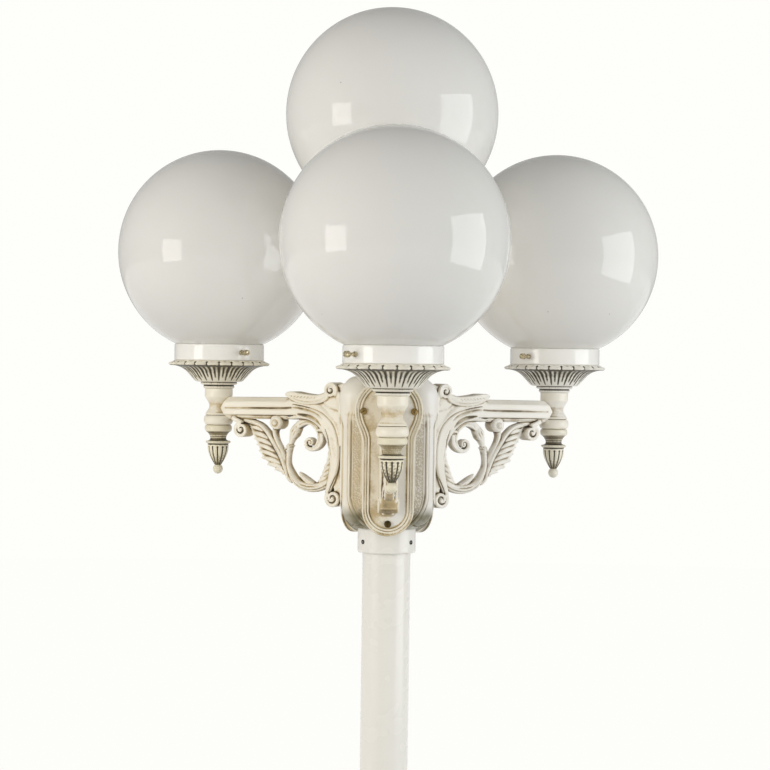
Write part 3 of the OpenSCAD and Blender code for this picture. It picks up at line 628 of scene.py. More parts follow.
def patina_mat(name, cream, gold, dark, gold_at=(0.10, 0.80), dark_at=(0.70, 1.60), wash=0.9, grain=0.5, stipple=False, streak=False, rough0=0.27, run=(1.0, 1.0, 1.0)):
    """cream paint with an antique wash that stays in the hollows of the casting, together with painted shade and a
    painted highlight on raised edges; the hollow attributes are scaled so that 1 is a clear groove
    """
    m, nt, b = new_mat(name)
    co = coords(nt)
    mp = N(nt, "ShaderNodeMapping")
    mp.inputs["Scale"].default_value = run
    nt.links.new(co, mp.inputs["Vector"])
    n1 = noise(nt, mp.outputs["Vector"], 48, 5.0, 0.62)
    n2 = noise(nt, co, 520, 3.0, 0.65)
    n3 = noise(nt, co, 15, 2.0, 0.5)
    fine = attr(nt, "hollow_fine")
    cav = math_node(nt, "ADD", math_node(nt, "MULTIPLY", fine, 0.8), math_node(nt, "MULTIPLY", attr(nt, "hollow_broad"), 0.35))
    # the wash attribute carries both the antique wash and painted shade
    cav = math_node(nt, "ADD", cav, attr(nt, "wash"))
    # painted light: where the cool tint is set, for faces lit by the cooler right-hand lamp, the wash is greyer
    gold0, grey = gold, 0.3 * gold[0] + 0.6 * gold[1] + 0.1 * gold[2]
    gold = mix(nt, attr(nt, "cool"), gold0, tuple(0.5 * g + 0.5 * grey for g in gold0[:3]) + (1.0,))
    gr = math_node(nt, "MULTIPLY", math_node(nt, "SUBTRACT", n2, 0.5), grain)
    patch = math_node(nt, "MULTIPLY", math_node(nt, "SUBTRACT", n1, 0.5), wash)
    extra = math_node(nt, "ADD", gr, patch)
    if streak:
        extra = math_node(nt, "ADD", extra, attr(nt, "streak"))
    fg = ramp(nt, math_node(nt, "ADD", cav, extra), gold_at[0], gold_at[1])
    fd = ramp(nt, math_node(nt, "ADD", cav, math_node(nt, "MULTIPLY", extra, 0.8)), dark_at[0], dark_at[1])
    half = tuple(0.5 * c + 0.5 * g for c, g in zip(cream, gold0))
    # painted light: the paint is whiter where the cool tint is set
    cream1 = mix(nt, attr(nt, "cool"), cream, tuple(min(1.0, 1.03 * c) * 0.35 + 0.65 * 0.89 for c in cream[:3]) + (1.0,))
    base = mix(nt, ramp(nt, n3, 0.36, 0.70, 0.0, 0.22), cream1, half)
    c1 = mix(nt, math_node(nt, "MULTIPLY", fg, 0.95), base, gold)
    c2 = mix(nt, fd, c1, dark)
    # the raised edges are rubbed clean of the wash and painted a little brighter than the paint, a painted highlight
    c2 = mix(nt, ramp(nt, fine, -0.5, -2.2, 0.0, 0.55), c2, tuple(min(1.0, 1.04 * c) for c in cream[:3]) + (1.0,))
    height = math_node(nt, "ADD", math_node(nt, "MULTIPLY", n2, 0.6), math_node(nt, "MULTIPLY", noise(nt, co, 1300, 2.0), 0.4))
    if stipple:
        vo = N(nt, "ShaderNodeTexVoronoi")
        vo.inputs["Scale"].default_value = 430
        nt.links.new(co, vo.inputs["Vector"])
        st = attr(nt, "stipple")
        pits = math_node(nt, "MULTIPLY", ramp(nt, vo.outputs["Distance"], 0.30, 0.62), st)
        c2 = mix(nt, math_node(nt, "MULTIPLY", st, ramp(nt, n1, 0.3, 0.7, 0.10, 0.45)), c2, gold)
        c2 = mix(nt, math_node(nt, "MULTIPLY", pits, 0.55), c2, tuple(0.55 * g + 0.45 * d for g, d in zip(gold0, dark)))
        c2 = mix(nt, math_node(nt, "MULTIPLY", attr(nt, "warm"), ramp(nt, n1, 0.25, 0.7, 0.25, 0.85)), c2, gold)
        c2 = mix(nt, math_node(nt, "MULTIPLY", attr(nt, "foot"), ramp(nt, n1, 0.25, 0.75, 0.55, 1.0)), c2, (dark[0] * 1.05, dark[1] * 1.2, dark[2] * 1.15, 1.0))
        height = math_node(nt, "SUBTRACT", height, math_node(nt, "MULTIPLY", pits, 2.2))
    nt.links.new(c2, b.inputs["Base Color"])
    rough = math_node(nt, "ADD", math_node(nt, "MULTIPLY", fg, 0.16), math_node(nt, "MULTIPLY", n2, 0.14))
    if stipple:
        rough = math_node(nt, "ADD", rough, math_node(nt, "MULTIPLY", attr(nt, "foot"), 0.28))
    nt.links.new(math_node(nt, "ADD", rough, rough0), b.inputs["Roughness"])
    b.inputs["Specular IOR Level"].default_value = 0.5
    b.inputs["Coat Weight"].default_value = 0.2
    b.inputs["Coat Roughness"].default_value = 0.18
    bump(nt, b, height, 0.4, 0.0005)
    return m


def paint_mat(name, base, tint, rough=0.22, scale=9.0, coat=0.35, orange=0.10, worn=0.10):
    """gloss paint with slight unevenness and dust"""
    m, nt, b = new_mat(name)
    co = coords(nt)
    n1 = noise(nt, co, scale, 4.0, 0.6)
    n2 = noise(nt, co, 260, 2.0)
    c = mix(nt, ramp(nt, n1, 0.38, 0.78, 0.0, 0.55), base, tint)
    nt.links.new(c, b.inputs["Base Color"])
    nt.links.new(ramp(nt, noise(nt, co, 30, 2.0), 0.3, 0.8, rough, rough + worn), b.inputs["Roughness"])
    b.inputs["Coat Weight"].default_value = coat
    b.inputs["Coat Roughness"].default_value = 0.08
    bump(nt, b, n2, orange, 0.0002)
    return m


def metal_mat(name, base, dark, rough=0.3, scale=500.0, metallic=1.0):
    m, nt, b = new_mat(name)
    co = coords(nt)
    n1 = noise(nt, co, scale, 4.0, 0.6)
    c = mix(nt, ramp(nt, n1, 0.35, 0.75), base, dark)
    nt.links.new(mix(nt, attr(nt, "old"), c, tuple(0.45 * d for d in dark[:3]) + (1.0,)), b.inputs["Base Color"])
    nt.links.new(ramp(nt, n1, 0.3, 0.8, rough, rough + 0.2), b.inputs["Roughness"])
    b.inputs["Metallic"].default_value = metallic
    bump(nt, b, noise(nt, co, scale * 2, 2.0), 0.15, 0.0002)
    return m


def opal_mat(name):
    m, nt, b = new_mat(name)
    co = coords(nt)
    n1 = noise(nt, co, 6, 3.0, 0.5)
    c = mix(nt, ramp(nt, n1, 0.35, 0.7, 0.0, 0.6), col(234, 232, 227), col(230, 229, 224))
    vo = N(nt, "ShaderNodeTexVoronoi")
    vo.inputs["Scale"].default_value = 24
    nt.links.new(co, vo.inputs["Vector"])
    speck = ramp(nt, vo.outputs["Distance"], 0.016, 0.022, 1.0, 0.0)
    c = mix(nt, math_node(nt, "MULTIPLY", speck, 0.45), c, col(120, 112, 96))
    nt.links.new(c, b.inputs["Base Color"])
    nt.links.new(ramp(nt, noise(nt, co, 25, 3.0), 0.3, 0.8, 0.035, 0.06), b.inputs["Roughness"])
    b.inputs["IOR"].default_value = 1.49
    b.inputs["Subsurface Weight"].default_value = 0.25
    b.inputs["Subsurface Radius"].default_value = (1.0, 0.95, 0.85)
    b.inputs["Subsurface Scale"].default_value = 0.006
    bump(nt, b, noise(nt, co, 14, 2.0), 0.02, 0.001)
    return m


CREAM = col(242, 235, 217)
GOLD = col(194, 171, 124)
DARK = col(84, 72, 46)
M_ARM = patina_mat("casting_cream", CREAM, GOLD, DARK, wash=2.0, run=(1.0, 0.35, 1.0))
M_COL = patina_mat("casting_column", col(247, 242, 229), col(212, 193, 154), col(104, 92, 66), wash=1.2, stipple=True, run=(1.0, 1.0, 0.4))
M_CUP = patina_mat("casting_cup", col(236, 229, 210), col(156, 143, 108), col(54, 47, 30), gold_at=(-0.15, 0.75), dark_at=(0.50, 1.25), wash=1.0, grain=0.9, streak=True)
M_FIN = patina_mat("casting_finial", col(234, 226, 200), col(150, 135, 98), col(56, 50, 32), gold_at=(-0.30, 0.50), dark_at=(0.35, 1.20), wash=1.6, grain=1.0)
M_POST = paint_mat("post_paint", col(240, 237, 229), col(236, 233, 224), 0.27, 4.0, 0.30, 0.004, 0.008)
M_GAL = paint_mat("gallery_paint", col(243, 241, 236), col(236, 233, 225), 0.16, 14.0, 0.6, 0.02, 0.03)
M_BRASS = metal_mat("brass", col(216, 204, 172), col(92, 78, 48), 0.26, 420.0)
M_BRONZE = metal_mat("screw_bronze", col(172, 148, 100), col(96, 80, 48), 0.36, 700)
M_DARK = metal_mat("screw_dark", col(66, 64, 58), col(30, 29, 27), 0.4, 700)
M_ZINC = metal_mat("zinc", col(196, 196, 192), col(150, 150, 146), 0.3, 300)
M_OPAL = opal_mat("opal_globe")
M_HOLD = paint_mat("holder_white", col(238, 236, 228), col(228, 226, 216), 0.2, 30.0)
M_BULB = paint_mat("bulb_white", col(246, 244, 238), col(240, 238, 230), 0.35, 20.0, 0.1)
M_GASK = paint_mat("gasket_white", col(214, 213, 208), col(200, 199, 192), 0.5, 60.0, 0.0)
M_BLOCK = paint_mat("block_nylon", col(228, 224, 208), col(214, 210, 192), 0.45, 80.0, 0.0)


def scaled(x, share=96.0):
    """1 is about as deep as the clear grooves of the piece"""
    return np.clip(x / max(float(np.percentile(x, share)), 0.02), -3.0, 3.0)


def side_shade_and_wash(N, side_axis=0, amount=0.75, under=0.35):
    """painted shade with the wash on the walls of a casting that is the same on both sides of a plane, and on faces
    that turn downwards; its flat faces stay clean
    """
    s = 1.0 - N[:, side_axis] ** 2
    return amount * np.clip((s - 0.45) / 0.5, 0, 1) ** 1.3 + under * np.clip(-N[:, 2], 0, 1)


# painted shade with the wash on faces that turn downwards
def under_shade_and_wash(N, amount=0.35):
    return amount * np.clip(-N[:, 2], 0, 1) ** 0.8


def cast_piece(name, V, Q, mat, nodes, matrix, extra=None, body="root"):
    """V in mm: measures the hollows, then bakes the mesh to the row frame"""
    f, bd = hollows(V, Q)
    f, bd = scaled(f), scaled(bd)
    me = fast_mesh(name, V * MM, Q)
    attribute(me, "hollow_fine", f)
    attribute(me, "hollow_broad", bd)
    if extra:
        for k, val in extra(V).items():
            attribute(me, k, val)
    return piece(name, me, mat, nodes, body, matrix)


def plain_piece(name, V, Q, mat, nodes, matrix, body="root"):
    return piece(name, fast_mesh(name, V * MM, Q), mat, nodes, body, matrix)


RIM_AT = Vector((0, 0, RIM))

# ---------------------------------------------------------------- arms
# arm plane: a = outwards -> -Y, b = up, v = across -> X, then turned about Z
V, Q = sculpt_arm(STEP)
arm = np.stack([-V[:, 2], -V[:, 0], V[:, 1]], 1)
neck = [tuple(p) for p in catmull([(15.8, -85.2, 0), (14.4, -82.8, 0), (12.6, -79.8, 0), (11.5, -76.6, 0), (11.6, -73.8, 0), (12.9, -70.8, 0), (14.9, -67.8, 0), (16.5, -65.2, 0), (17.0, -63.2, 0)], 5)[:, :2]]
hub = dense([(0.5, -99), (14.4, -99), (15.0, -98.7)] + bead(15.0, -98.6, -87.2, 3.0, 12) + [(15.2, -86.8), (16.2, -86.4), (16.2, -85.7)] + neck + [(17.0, -62.4), (17.0, -54.4), (0.5, -54.4)], 0.8)
HV, HQ = lathe(hub, 120)
HV, HQ = turned(HV, HQ, at=(0, -REACH / MM, 0))
AV, AQ = arm, Q
ARM_V, ARM_Q = join_parts([(AV, AQ), (HV, HQ)])
f1, b1 = hollows(AV, AQ)
f2, b2 = hollows(HV, HQ, 1.2, 3.5)
ARM_F, ARM_B = np.concatenate([scaled(f1), scaled(f2, 92)]), np.concatenate([scaled(b1), scaled(b2, 92)])
out, up, across = -ARM_V[:, 1], ARM_V[:, 2], ARM_V[:, 0]
AN = normals(ARM_V, ARM_Q)
is_hub = np.arange(len(ARM_V)) >= len(AV)
past = np.clip((out - 50) / 6, 0, 1)
# painted shade with the wash: hubs darker on faces turning down, the arm on its walls and undersides
ARM_W = np.where(is_hub, under_shade_and_wash(AN, 0.45), side_shade_and_wash(AN, 0, 0.80, 0.40) * past)
# the lower swelling of the hub and the side that faces the arm keep more wash and painted shade, where shade falls; the
# top of the hub carries less
ARM_W += is_hub * (0.66 * np.clip((-82.0 - up) / 3, 0, 1) + 0.85 * np.clip((REACH / MM - 1 - out) / 11, 0, 1) * np.clip((-70.0 - up) / 8, 0, 1))
ARM_W -= is_hub * 0.25 * np.clip((up + 68) / 3, 0, 1)
# the bead of the hub is smeared brown in streaks, and darker round its lower half with painted shade
hub_t = np.arctan2(across, out - REACH / MM)
smear = 0.5 + 0.5 * np.sin(5 * hub_t + 0.4 * up + 0.7)
ARM_W += is_hub * np.clip((-85.5 - up) / 2, 0, 1) * (0.30 + 0.30 * smear)
# painted shade: the front hub is a little darker all over
FRONT_HUB_SHADE = is_hub * 0.16
# old wash along the middle and the upper face of the beam, and painted shade on its lower face
for o0, z0, lo, lz, k in ((166, -75.5, 24, 2.6, 0.55), (150, -68.5, 20, 2.2, 0.30), (172, -86.0, 17, 3.4, 0.75), (204, -84.5, 10, 3.0, 0.45), (126, -85.5, 12, 3.2, 0.40), (112, -84, 10, 3.4, 0.55), (199, -72.0, 16, 2.0, 0.25)):
    ARM_W += ~is_hub * past * k * np.exp(-((out - o0) / lo) ** 2 - ((up - z0) / lz) ** 2)
# painted shade with wash on the calyx, the knob under it, the roll under the beam and the knot
for o0, z0, ro, k in ((127, -104, 8.5, 0.42), (135.2, -123.8, 5.5, 0.30), (150.6, -95, 7.0, 0.22), (91, -103, 5.0, 0.45)):
    ARM_W += ~is_hub * past * k * np.exp(-((out - o0) ** 2 + (up - z0) ** 2) / ro ** 2)
# scrollwork below the beam is darker than the beam itself
ARM_W += ~is_hub * past * 0.24 * np.clip((-88 - up) / 6, 0, 1)
# lines along the edge of the keyhole plate
pz = up
ph = np.hypot(across, pz + 76) - 39.6
pf = np.maximum(np.where(pz > -191, np.abs(across), np.hypot(across, pz + 191)) - 30.2, pz + 66)
psd = smin(ph, pf, 9.0)
face = ~is_hub & (out < 47.5) & (out > 42.0)
line = sum(k * np.exp(-((psd + o) / w) ** 2) for o, w, k in ((-0.6, 0.8, 0.9), (2.7, 0.55, 0.55), (5.6, 0.55, 0.55), (8.7, 0.8, 0.75)))
ARM_W += face * (line + 0.16 * np.clip((psd + 9.0) / 2, 0, 1)) * (0.75 + 0.45 * np.sin(0.11 * up + 2.0 * np.sign(across)) ** 2)
FACE_F = np.where(face & (psd < 0) & (psd > -10), 0.45, 1.0)
ARM_W += (~is_hub & (out < 47.5) & (psd > -2.2)) * 1.25 * np.clip((-186 - up) / 16, 0, 1)
field = face * np.clip((-psd - 9.4) / 2, 0, 1)
ARM_B = np.where(field > 0.5, ARM_B * 0.3, ARM_B)
ARM_F = ARM_F * FACE_F
in_neck = is_hub * np.clip((up + 85.5) / 1.5, 0, 1) * np.clip((-64.0 - up) / 1.5, 0, 1)
ARM_F, ARM_B = ARM_F * (1 - 0.9 * in_neck), ARM_B * (1 - 0.85 * in_neck)
ARM_W += 0.18 * in_neck
for k in ("front", "left", "right"):
    w = ARM_W + (FRONT_HUB_SHADE if k == "front" else 0)
    cool = np.zeros(len(w))
    if k == "front":
        # the front plate's field carries more wash towards its left, and towards its right the cool tint, painted light
        # from the right-hand lamp
        w += field * 0.34 * np.clip((across * -1 + 2) / 16, 0, 1)
        cool = field * np.clip((across + 4) / 12, 0, 1)
        # painted shade: the lower part of the front arm is darker
        w += ~is_hub * past * 0.08 * np.clip((-150 - up) / 10, 0, 1)
    if k == "right":
        # painted light: the right-hand arm has a little less wash and the cool tint of the right-hand lamp
        w, cool = w - 0.06, cool + 0.75
    me = fast_mesh("arm_casting_" + k, ARM_V * MM, ARM_Q)
    attribute(me, "hollow_fine", ARM_F)
    attribute(me, "hollow_broad", ARM_B)
    attribute(me, "wash", w)
    attribute(me, "cool", cool)
    piece("arm_casting_" + k, me, M_ARM, ["arm_" + k], "root", place(ARM_AZ[k], RIM_AT))

# ---------------------------------------------------------------- column with its sleeve
V, Q = sculpt_column(STEP * 1.15)

def column_marks(V):
    best, lines = np.zeros(len(V)), np.zeros(len(V))
    for a in (0, 120, 240):
        t = math.radians(-a)
        xr = V[:, 0] * math.cos(t) - V[:, 1] * math.sin(t); yr = V[:, 0] * math.sin(t) + V[:, 1] * math.cos(t)
        zz = np.where(V[:, 2] > -86, V[:, 2] + 86, np.where(V[:, 2] < -172, V[:, 2] + 172, 0.0))
        sd = np.hypot(xr, zz) - 47
        on = (yr < -35.4) & (sd > -24) & (sd < 1.5)
        best = np.where((yr < -36.2) & (sd > -15.6) & (sd < -6.0), 1.0, best)
        ln = sum(k * np.exp(-((sd + o) / w) ** 2) for o, w, k in ((-0.2, 0.7, 1.1), (3.6, 0.55, 1.2), (6.3, 0.6, 0.8), (13.0, 0.6, 0.8), (16.4, 0.6, 1.2), (19.4, 0.8, 1.0)))
        low = np.clip((-168 - V[:, 2]) / 18, 0, 1)
        lines = np.where(on, ln * (0.66 + 0.95 * low) + 0.45 * low, lines)
    foot = np.clip((-186 - V[:, 2]) / 12, 0, 1)
    z = V[:, 2]
    ahead = np.clip((-V[:, 1] - 18) / 12, 0, 1) * np.clip((52 - np.abs(V[:, 0])) / 8, 0, 1)
    side = np.clip((np.abs(V[:, 0]) - 27) / 8, 0, 1)
    smear = ahead * side * np.clip((-58 - z) / 14, 0, 1)
    warm = np.where(V[:, 0] < 0, 0.85, 0.42) * smear
    # painted shade in a band under the swelling of the shoulder
    step = 1.0 * np.exp(-((z + 80) / 4.0) ** 2) * (np.abs(V[:, 0]) > 34)
    # the right side of the column gets the cool tint, painted light from the right-hand lamp
    return {"stipple": best, "foot": foot, "warm": warm, "wash": lines + step, "cool": np.clip((V[:, 0] + 6) / 14, 0, 1)}

cast_piece("column_casting", V, Q, M_COL, [], place(0, RIM_AT), column_marks)
sleeve = dense([(28.4, -214), (34.0, -214.2), (34.2, -215.5), (34.2, -241.8), (33.7, -243.0), (29.2, -243.2), (28.4, -242.6)], 2.0)
V, Q = lathe(sleeve, 128, closed=True)
piece("column_sleeve", fast_mesh("column_sleeve", V * MM, Q), M_POST, ["head_column"], "root", place(0, RIM_AT))

# ---------------------------------------------------------------- cap and stem of the top lamp
cap = [(0.5, -48), (27.8, -48), (27.8, -38.4), (29.4, -37.6)] + bead(28.6, -37.4, -31.0, 1.4, 8) + [(27.6, -30.2)] + [(20 + 8 * math.cos(math.radians(90 * i / 10)), -30 + 8.8 * math.sin(math.radians(90 * i / 10))) for i in range(11)] + [(0.5, -21.1)]
V, Q = lathe(dense(cap, 1.0), 144)
# painted shade with the wash on faces that turn downwards
cast_piece("cap_casting", V, Q, M_ARM, ["head_cap"], place(0, RIM_AT), lambda P: {"wash": under_shade_and_wash(normals(P, Q), 0.4)})
tz = TOP / MM
stem = [(0.5, -21), (18.6, -21), (19.6, -19.6), (19.6, -17.6), (17.4, -14.6), (16.2, -12), (16.2, -9.6)] + bead(16.6, -9.2, -0.4, 2.2, 8) + [(15.4, 1.0), (14.0, 3.4)]
stem += [(12.5 + 5.5 * math.sin(math.pi * t) ** 2, 6 + 56 * t) for t in np.linspace(0, 1, 24)]
stem += [(15.2, 63.4)] + bead(15.8, 64.4, 71.4, 2.0, 8) + [(14, 73.6), (12.6, 80), (14.4, 86), (17.0, 89.6), (17.3, 91), (17.3, tz - 54.4), (0.5, tz - 54.4)]

def stem_leaves(R, Z, T):
    # eight slim leaves on the swelling of the baluster
    t = np.clip((Z - 8) / 46, 0, 1)
    a = np.sin(np.pi * t) ** 0.8 * ((Z > 8) & (Z < 54))
    lobes = np.abs(np.cos(4 * T)) ** 0.6
    return R - 1.3 * a * (1 - lobes), Z

V, Q = lathe(dense(stem, 0.9), 160, stem_leaves)
# painted shade with the wash on faces that turn downwards
cast_piece("stem_casting", V, Q, M_ARM, ["top_stem"], place(0, RIM_AT), lambda P: {"wash": under_shade_and_wash(normals(P, Q), 0.5)})

# ---------------------------------------------------------------- fluted cups
cup_low = [(0.5, -54.3), (17.3, -54.3), (18.4, -53.9), (19.0, -52.9), (19.0, -51.6), (18.3, -50.6), (18.6, -49.9), (20.8, -49.7), (22.1, -48.8), (22.5, -47.7), (22.0, -46.7), (21.6, -46.2)]
trumpet = catmull([(25.0, -46.2, 0), (28.6, -45.6, 0), (31.9, -42.6, 0), (34.4, -39.8, 0), (37.4, -36.6, 0), (40.6, -33.2, 0), (44.8, -30.0, 0), (49.4, -27.9, 0), (54.4, -26.6, 0), (59.4, -26.0, 0)], 6)[:, :2]
cup_rim = [(61.4, -25.6), (62.5, -24.7), (62.4, -23.5), (60.6, -22.6), (57.6, -21.6), (55.6, -20.6), (55.0, -19.8), (0.5, -19.8)]
cup_profile = dense(cup_low + [tuple(p) for p in trumpet] + cup_rim, 0.8)

def flutes(R, Z, T):
    s = np.abs(np.sin(12 * T))
    lobe = s ** 0.5
    up = np.clip((Z + 46.0) / 3.0, 0, 1) * np.clip((-21.2 - Z) / 1.6, 0, 1) * (R > 23.5)
    depth = (1.0 + 1.5 * np.clip((Z + 45) / 16, 0, 1)) * up
    hollow = 0.55 * np.exp(-((1 - s) / 0.10) ** 2) * up * np.clip((Z + 44) / 6, 0, 1)
    rim = np.clip((R - 55.5) / 5, 0, 1) * (Z < -20.5)
    R2 = R - depth * (1 - lobe) - hollow - rim * 2.4 * (1 - s ** 0.6)
    Z2 = Z + rim * 1.1 * (1 - lobe) * (Z < -24.0) - 0.35 * rim * lobe * (Z < -24)
    return R2, Z2

CV, CQ = lathe(cup_profile, 384, flutes)
CF, CB = hollows(CV, CQ, 1.2, 3.6)
CF, CB = scaled(CF, 94), scaled(CB, 92)
# dark gaps between the petals, arches at their tops, and brush streaks that run down them
ct = np.arctan2(CV[:, 1], CV[:, 0]); cr = np.hypot(CV[:, 0], CV[:, 1]); cz = CV[:, 2]
cs = np.abs(np.sin(12 * ct))
cup_on = np.clip((cz + 46.5) / 2.0, 0, 1) * np.clip((-26.0 - cz) / 0.8, 0, 1) * (cr > 21)
gap = np.exp(-(cs / 0.36) ** 2) * cup_on * 1.7
arch_z = -28.4 + 2.4 * (1 - (1 - cs) ** 1.6)
arch = np.exp(-((cz - arch_z) / 1.1) ** 2) * (cr > 40) * 1.4
# petals: pale raised edges and a browner hollow, darkening with wash and painted shade towards the lip; the lip itself
# is kept pale, with a painted shadow line just under it
crown = np.exp(-((1 - cs) / 0.20) ** 2) * np.clip((cz + 44) / 8, 0, 1) * np.clip((-26.8 - cz) / 1.5, 0, 1) * 0.62
lip = np.clip((cr - 57.0) / 2.5, 0, 1) * np.clip((cz + 26.6) / 1.2, 0, 1)
CF, CB = np.where(lip > 0.3, np.minimum(CF, 0.3) * 0.4, CF), np.where(lip > 0.3, CB * 0.2, CB)
# painted shadow line, with wash, under the overhang of the lip
under_lip = np.exp(-((cz + 26.4) / 0.8) ** 2) * (cr > 50) * 1.1
# wash with painted shade that grows towards the lip; darker below the flare
CW = crown + 0.62 * np.clip((-46.2 - cz) / 1.0, 0, 1) - 0.55 * lip + (0.13 + 0.22 * np.clip((cz + 36) / 6, 0, 1)) * (1 - lip) + under_lip
grid = rng.normal(0, 1, (14, 260))
gu = (ct + math.pi) / (2 * math.pi) * 260; gw_ = np.clip((cz + 56) / 3.0, 0, 12.99)
i0, j0 = np.floor(gw_).astype(int), np.floor(gu).astype(int)
fu, fw = gu - j0, gw_ - i0
streak = (grid[i0, j0 % 260] * (1 - fu) + grid[i0, (j0 + 1) % 260] * fu) * (1 - fw) + (grid[np.minimum(i0 + 1, 13), j0 % 260] * (1 - fu) + grid[np.minimum(i0 + 1, 13), (j0 + 1) % 260] * fu) * fw
CF = np.maximum(CF, np.maximum(gap, arch))
for k, p in LAMPS.items():
    me = fast_mesh("cup_casting_" + k, CV * MM, CQ)
    attribute(me, "hollow_fine", CF)
    attribute(me, "hollow_broad", CB)
    attribute(me, "streak", streak * 0.26)
    # the copies carry different amounts of wash; the right cup, and the front one less, get the cool tint, painted
    # light from the right-hand lamp
    attribute(me, "wash", CW + (0.10 if k == "left" else 0.04 if k == "right" else -0.10))
    attribute(me, "cool", np.full(len(CW), {"right": 0.8, "front": 0.35}.get(k, 0.0)))
    piece("cup_casting_" + k, me, M_CUP, ["cup_" + k], "root", place(math.radians(3.0), p))

# ---------------------------------------------------------------- finials
fin = [(0.5, -99.2)] + bead(15.2, -99.4, -106.8, 1.5, 8) + [(14.6, -107.4), (13.0, -108.6), (11.4, -110.6), (10.0, -113.4), (9.7, -115.6), (10.2, -117.4), (12.0, -118.4), (14.4, -118.8), (15.3, -119.6), (15.3, -120.6), (14.6, -121.4), (13.4, -121.9), (12.4, -122.6), (12.7, -123.8), (12.9, -125.4)]
fin += [(4.0 + 8.9 * math.cos(math.pi / 2 * t) ** 0.95, -126 - 22 * t) for t in np.linspace(0, 1, 24)[1:]]
fin += [(3.5, -148.4)] + [(6.1 * math.sin(math.radians(a)), -153.2 + 6.1 * math.cos(math.radians(a))) for a in np.linspace(34, 176, 16)]

def fin_flutes(R, Z, T):
    cone = np.clip((-124.5 - Z) / 1.5, 0, 1) * np.clip((Z + 148) / 2.0, 0, 1)
    s = np.abs(np.sin(6 * T + 0.25 * (Z + 126) * 0.0))
    R = R - cone * (0.6 + 0.07 * R) * (1 - s ** 0.55)
    disc = np.clip(1 - np.abs(Z + 119.8) / 1.6, 0, 1) * (R > 12.5)
    R = R - disc * 0.7 * (1 - np.abs(np.sin(12 * T)) ** 0.6)
    return R, Z

V, Q = lathe(dense(fin, 0.55), 168, fin_flutes)
FF, FB = hollows(V, Q, 0.9, 2.8)
FF, FB = scaled(FF, 93), scaled(FB, 92)
# wash with painted shade on faces that turn downwards; the waist is paler
FW = 0.34 + 0.22 * (V[:, 2] < -122) + under_shade_and_wash(normals(V, Q), 0.5) - 0.45 * np.exp(-((V[:, 2] + 113.5) / 4.5) ** 2)
FB = np.where(V[:, 2] > -118, FB * 0.35, FB)
fs = np.abs(np.sin(6 * np.arctan2(V[:, 1], V[:, 0])))
FW += np.exp(-(fs / 0.46) ** 2) * np.clip((-124.5 - V[:, 2]) / 1.5, 0, 1) * np.clip((V[:, 2] + 149) / 1.5, 0, 1) * 0.9
FW -= 0.5 * (V[:, 2] < -148.2)
# the bud keeps a blotchy brown film; the front one most of all, and its neck is rubbed clean
ft = np.arctan2(V[:, 1], V[:, 0])
bud = np.clip((-124.5 - V[:, 2]) / 1.5, 0, 1) * np.clip((V[:, 2] + 148.5) / 2.0, 0, 1)
neck = np.clip((-107.0 - V[:, 2]) / 1.2, 0, 1) * np.clip((V[:, 2] + 118.0) / 1.0, 0, 1)
blot = 0.5 * np.sin(9.3 * ft + 0.9 * V[:, 2]) + 0.5 * np.sin(13.7 * ft - 1.7 * V[:, 2] + 1.3) + 0.45 * np.sin(1.9 * V[:, 2] + 3 * ft)
for k in ("front", "left", "right"):
    me = fast_mesh("finial_casting_" + k, V * MM, Q)
    clean = 1 - (0.75 if k == "front" else 0.0) * neck
    attribute(me, "hollow_fine", FF * clean)
    attribute(me, "hollow_broad", FB * clean)
    film = {"left": 0.40, "right": 0.40, "front": 1.05}[k] + {"left": 0.20, "right": 0.20, "front": 0.55}[k] * blot
    attribute(me, "wash", FW * (0.4 + 0.6 * clean) + {"left": 0.05, "right": 0.0, "front": 0.06}[k] + film * bud)
    # the right finial gets the cool tint, painted light from the right-hand lamp
    attribute(me, "cool", np.full(len(FW), 0.6 if k == "right" else 0.0))
    piece("finial_casting_" + k, me, M_FIN, ["finial_" + k], "root", place(0, LAMPS[k]))

# ---------------------------------------------------------------- galleries, globes, thumb screws
gal = dense([(54.2, -19.68), (54.85, -19.2), (54.9, -18.4), (54.9, -1.6), (54.7, -0.7), (54.1, -0.1), (53.3, -0.05), (52.6, -0.6), (52.4, -1.6), (52.4, -18.0), (51.9, -18.2), (6.0, -18.2), (6.0, -19.68)], 3.0)
GV, GQ = lathe(gal, 160, closed=True)
glo_out = [(125 * math.cos(math.radians(a)), 113 + 125 * math.sin(math.radians(a))) for a in np.linspace(-66.2, 89.6, 110)]
neck = [(49.0, -15.9), (49.0, -3.0), (49.25, -2.1)]
inner = [(122 * math.cos(math.radians(a)), 113 + 122 * math.sin(math.radians(a))) for a in np.linspace(89.6, -66.8, 80)]
globe = np.array([(46.2, -15.9), (48.4, -16.0)] + neck + glo_out + inner + [(46.3, -1.4), (46.0, -3.0)], float)
OV, OQ = lathe(globe, 180, closed=True)
for k, p in LAMPS.items():
    plain_piece("gallery_ring_" + k, GV, GQ, M_GAL, ["gallery_" + k], place(0, p))
    plain_piece("opal_globe_" + k, OV, OQ, M_OPAL, ["globe_" + k], place(0, p), "globe_" + k)

# thumb screw along +Z of its own, from the tip
th = [(0.3, 49.4), (1.5, 49.4), (2.0, 50.0), (2.0, 55.2), (3.0, 55.3), (3.1, 55.7), (2.9, 57.6), (2.2, 58.4), (1.75, 59.0), (1.7, 62.8), (2.0, 63.6), (3.2, 64.5), (3.5, 65.1), (3.5, 69.4), (3.3, 70.0), (2.8, 70.6), (2.2, 71.0), (1.8, 70.6), (0.3, 70.6)]

def knurl(R, Z, T):
    k = (R > 3.3) & (Z > 64.9) & (Z < 69.8)
    return R - 0.28 * k * (1 - np.abs(np.cos(9 * T))), Z

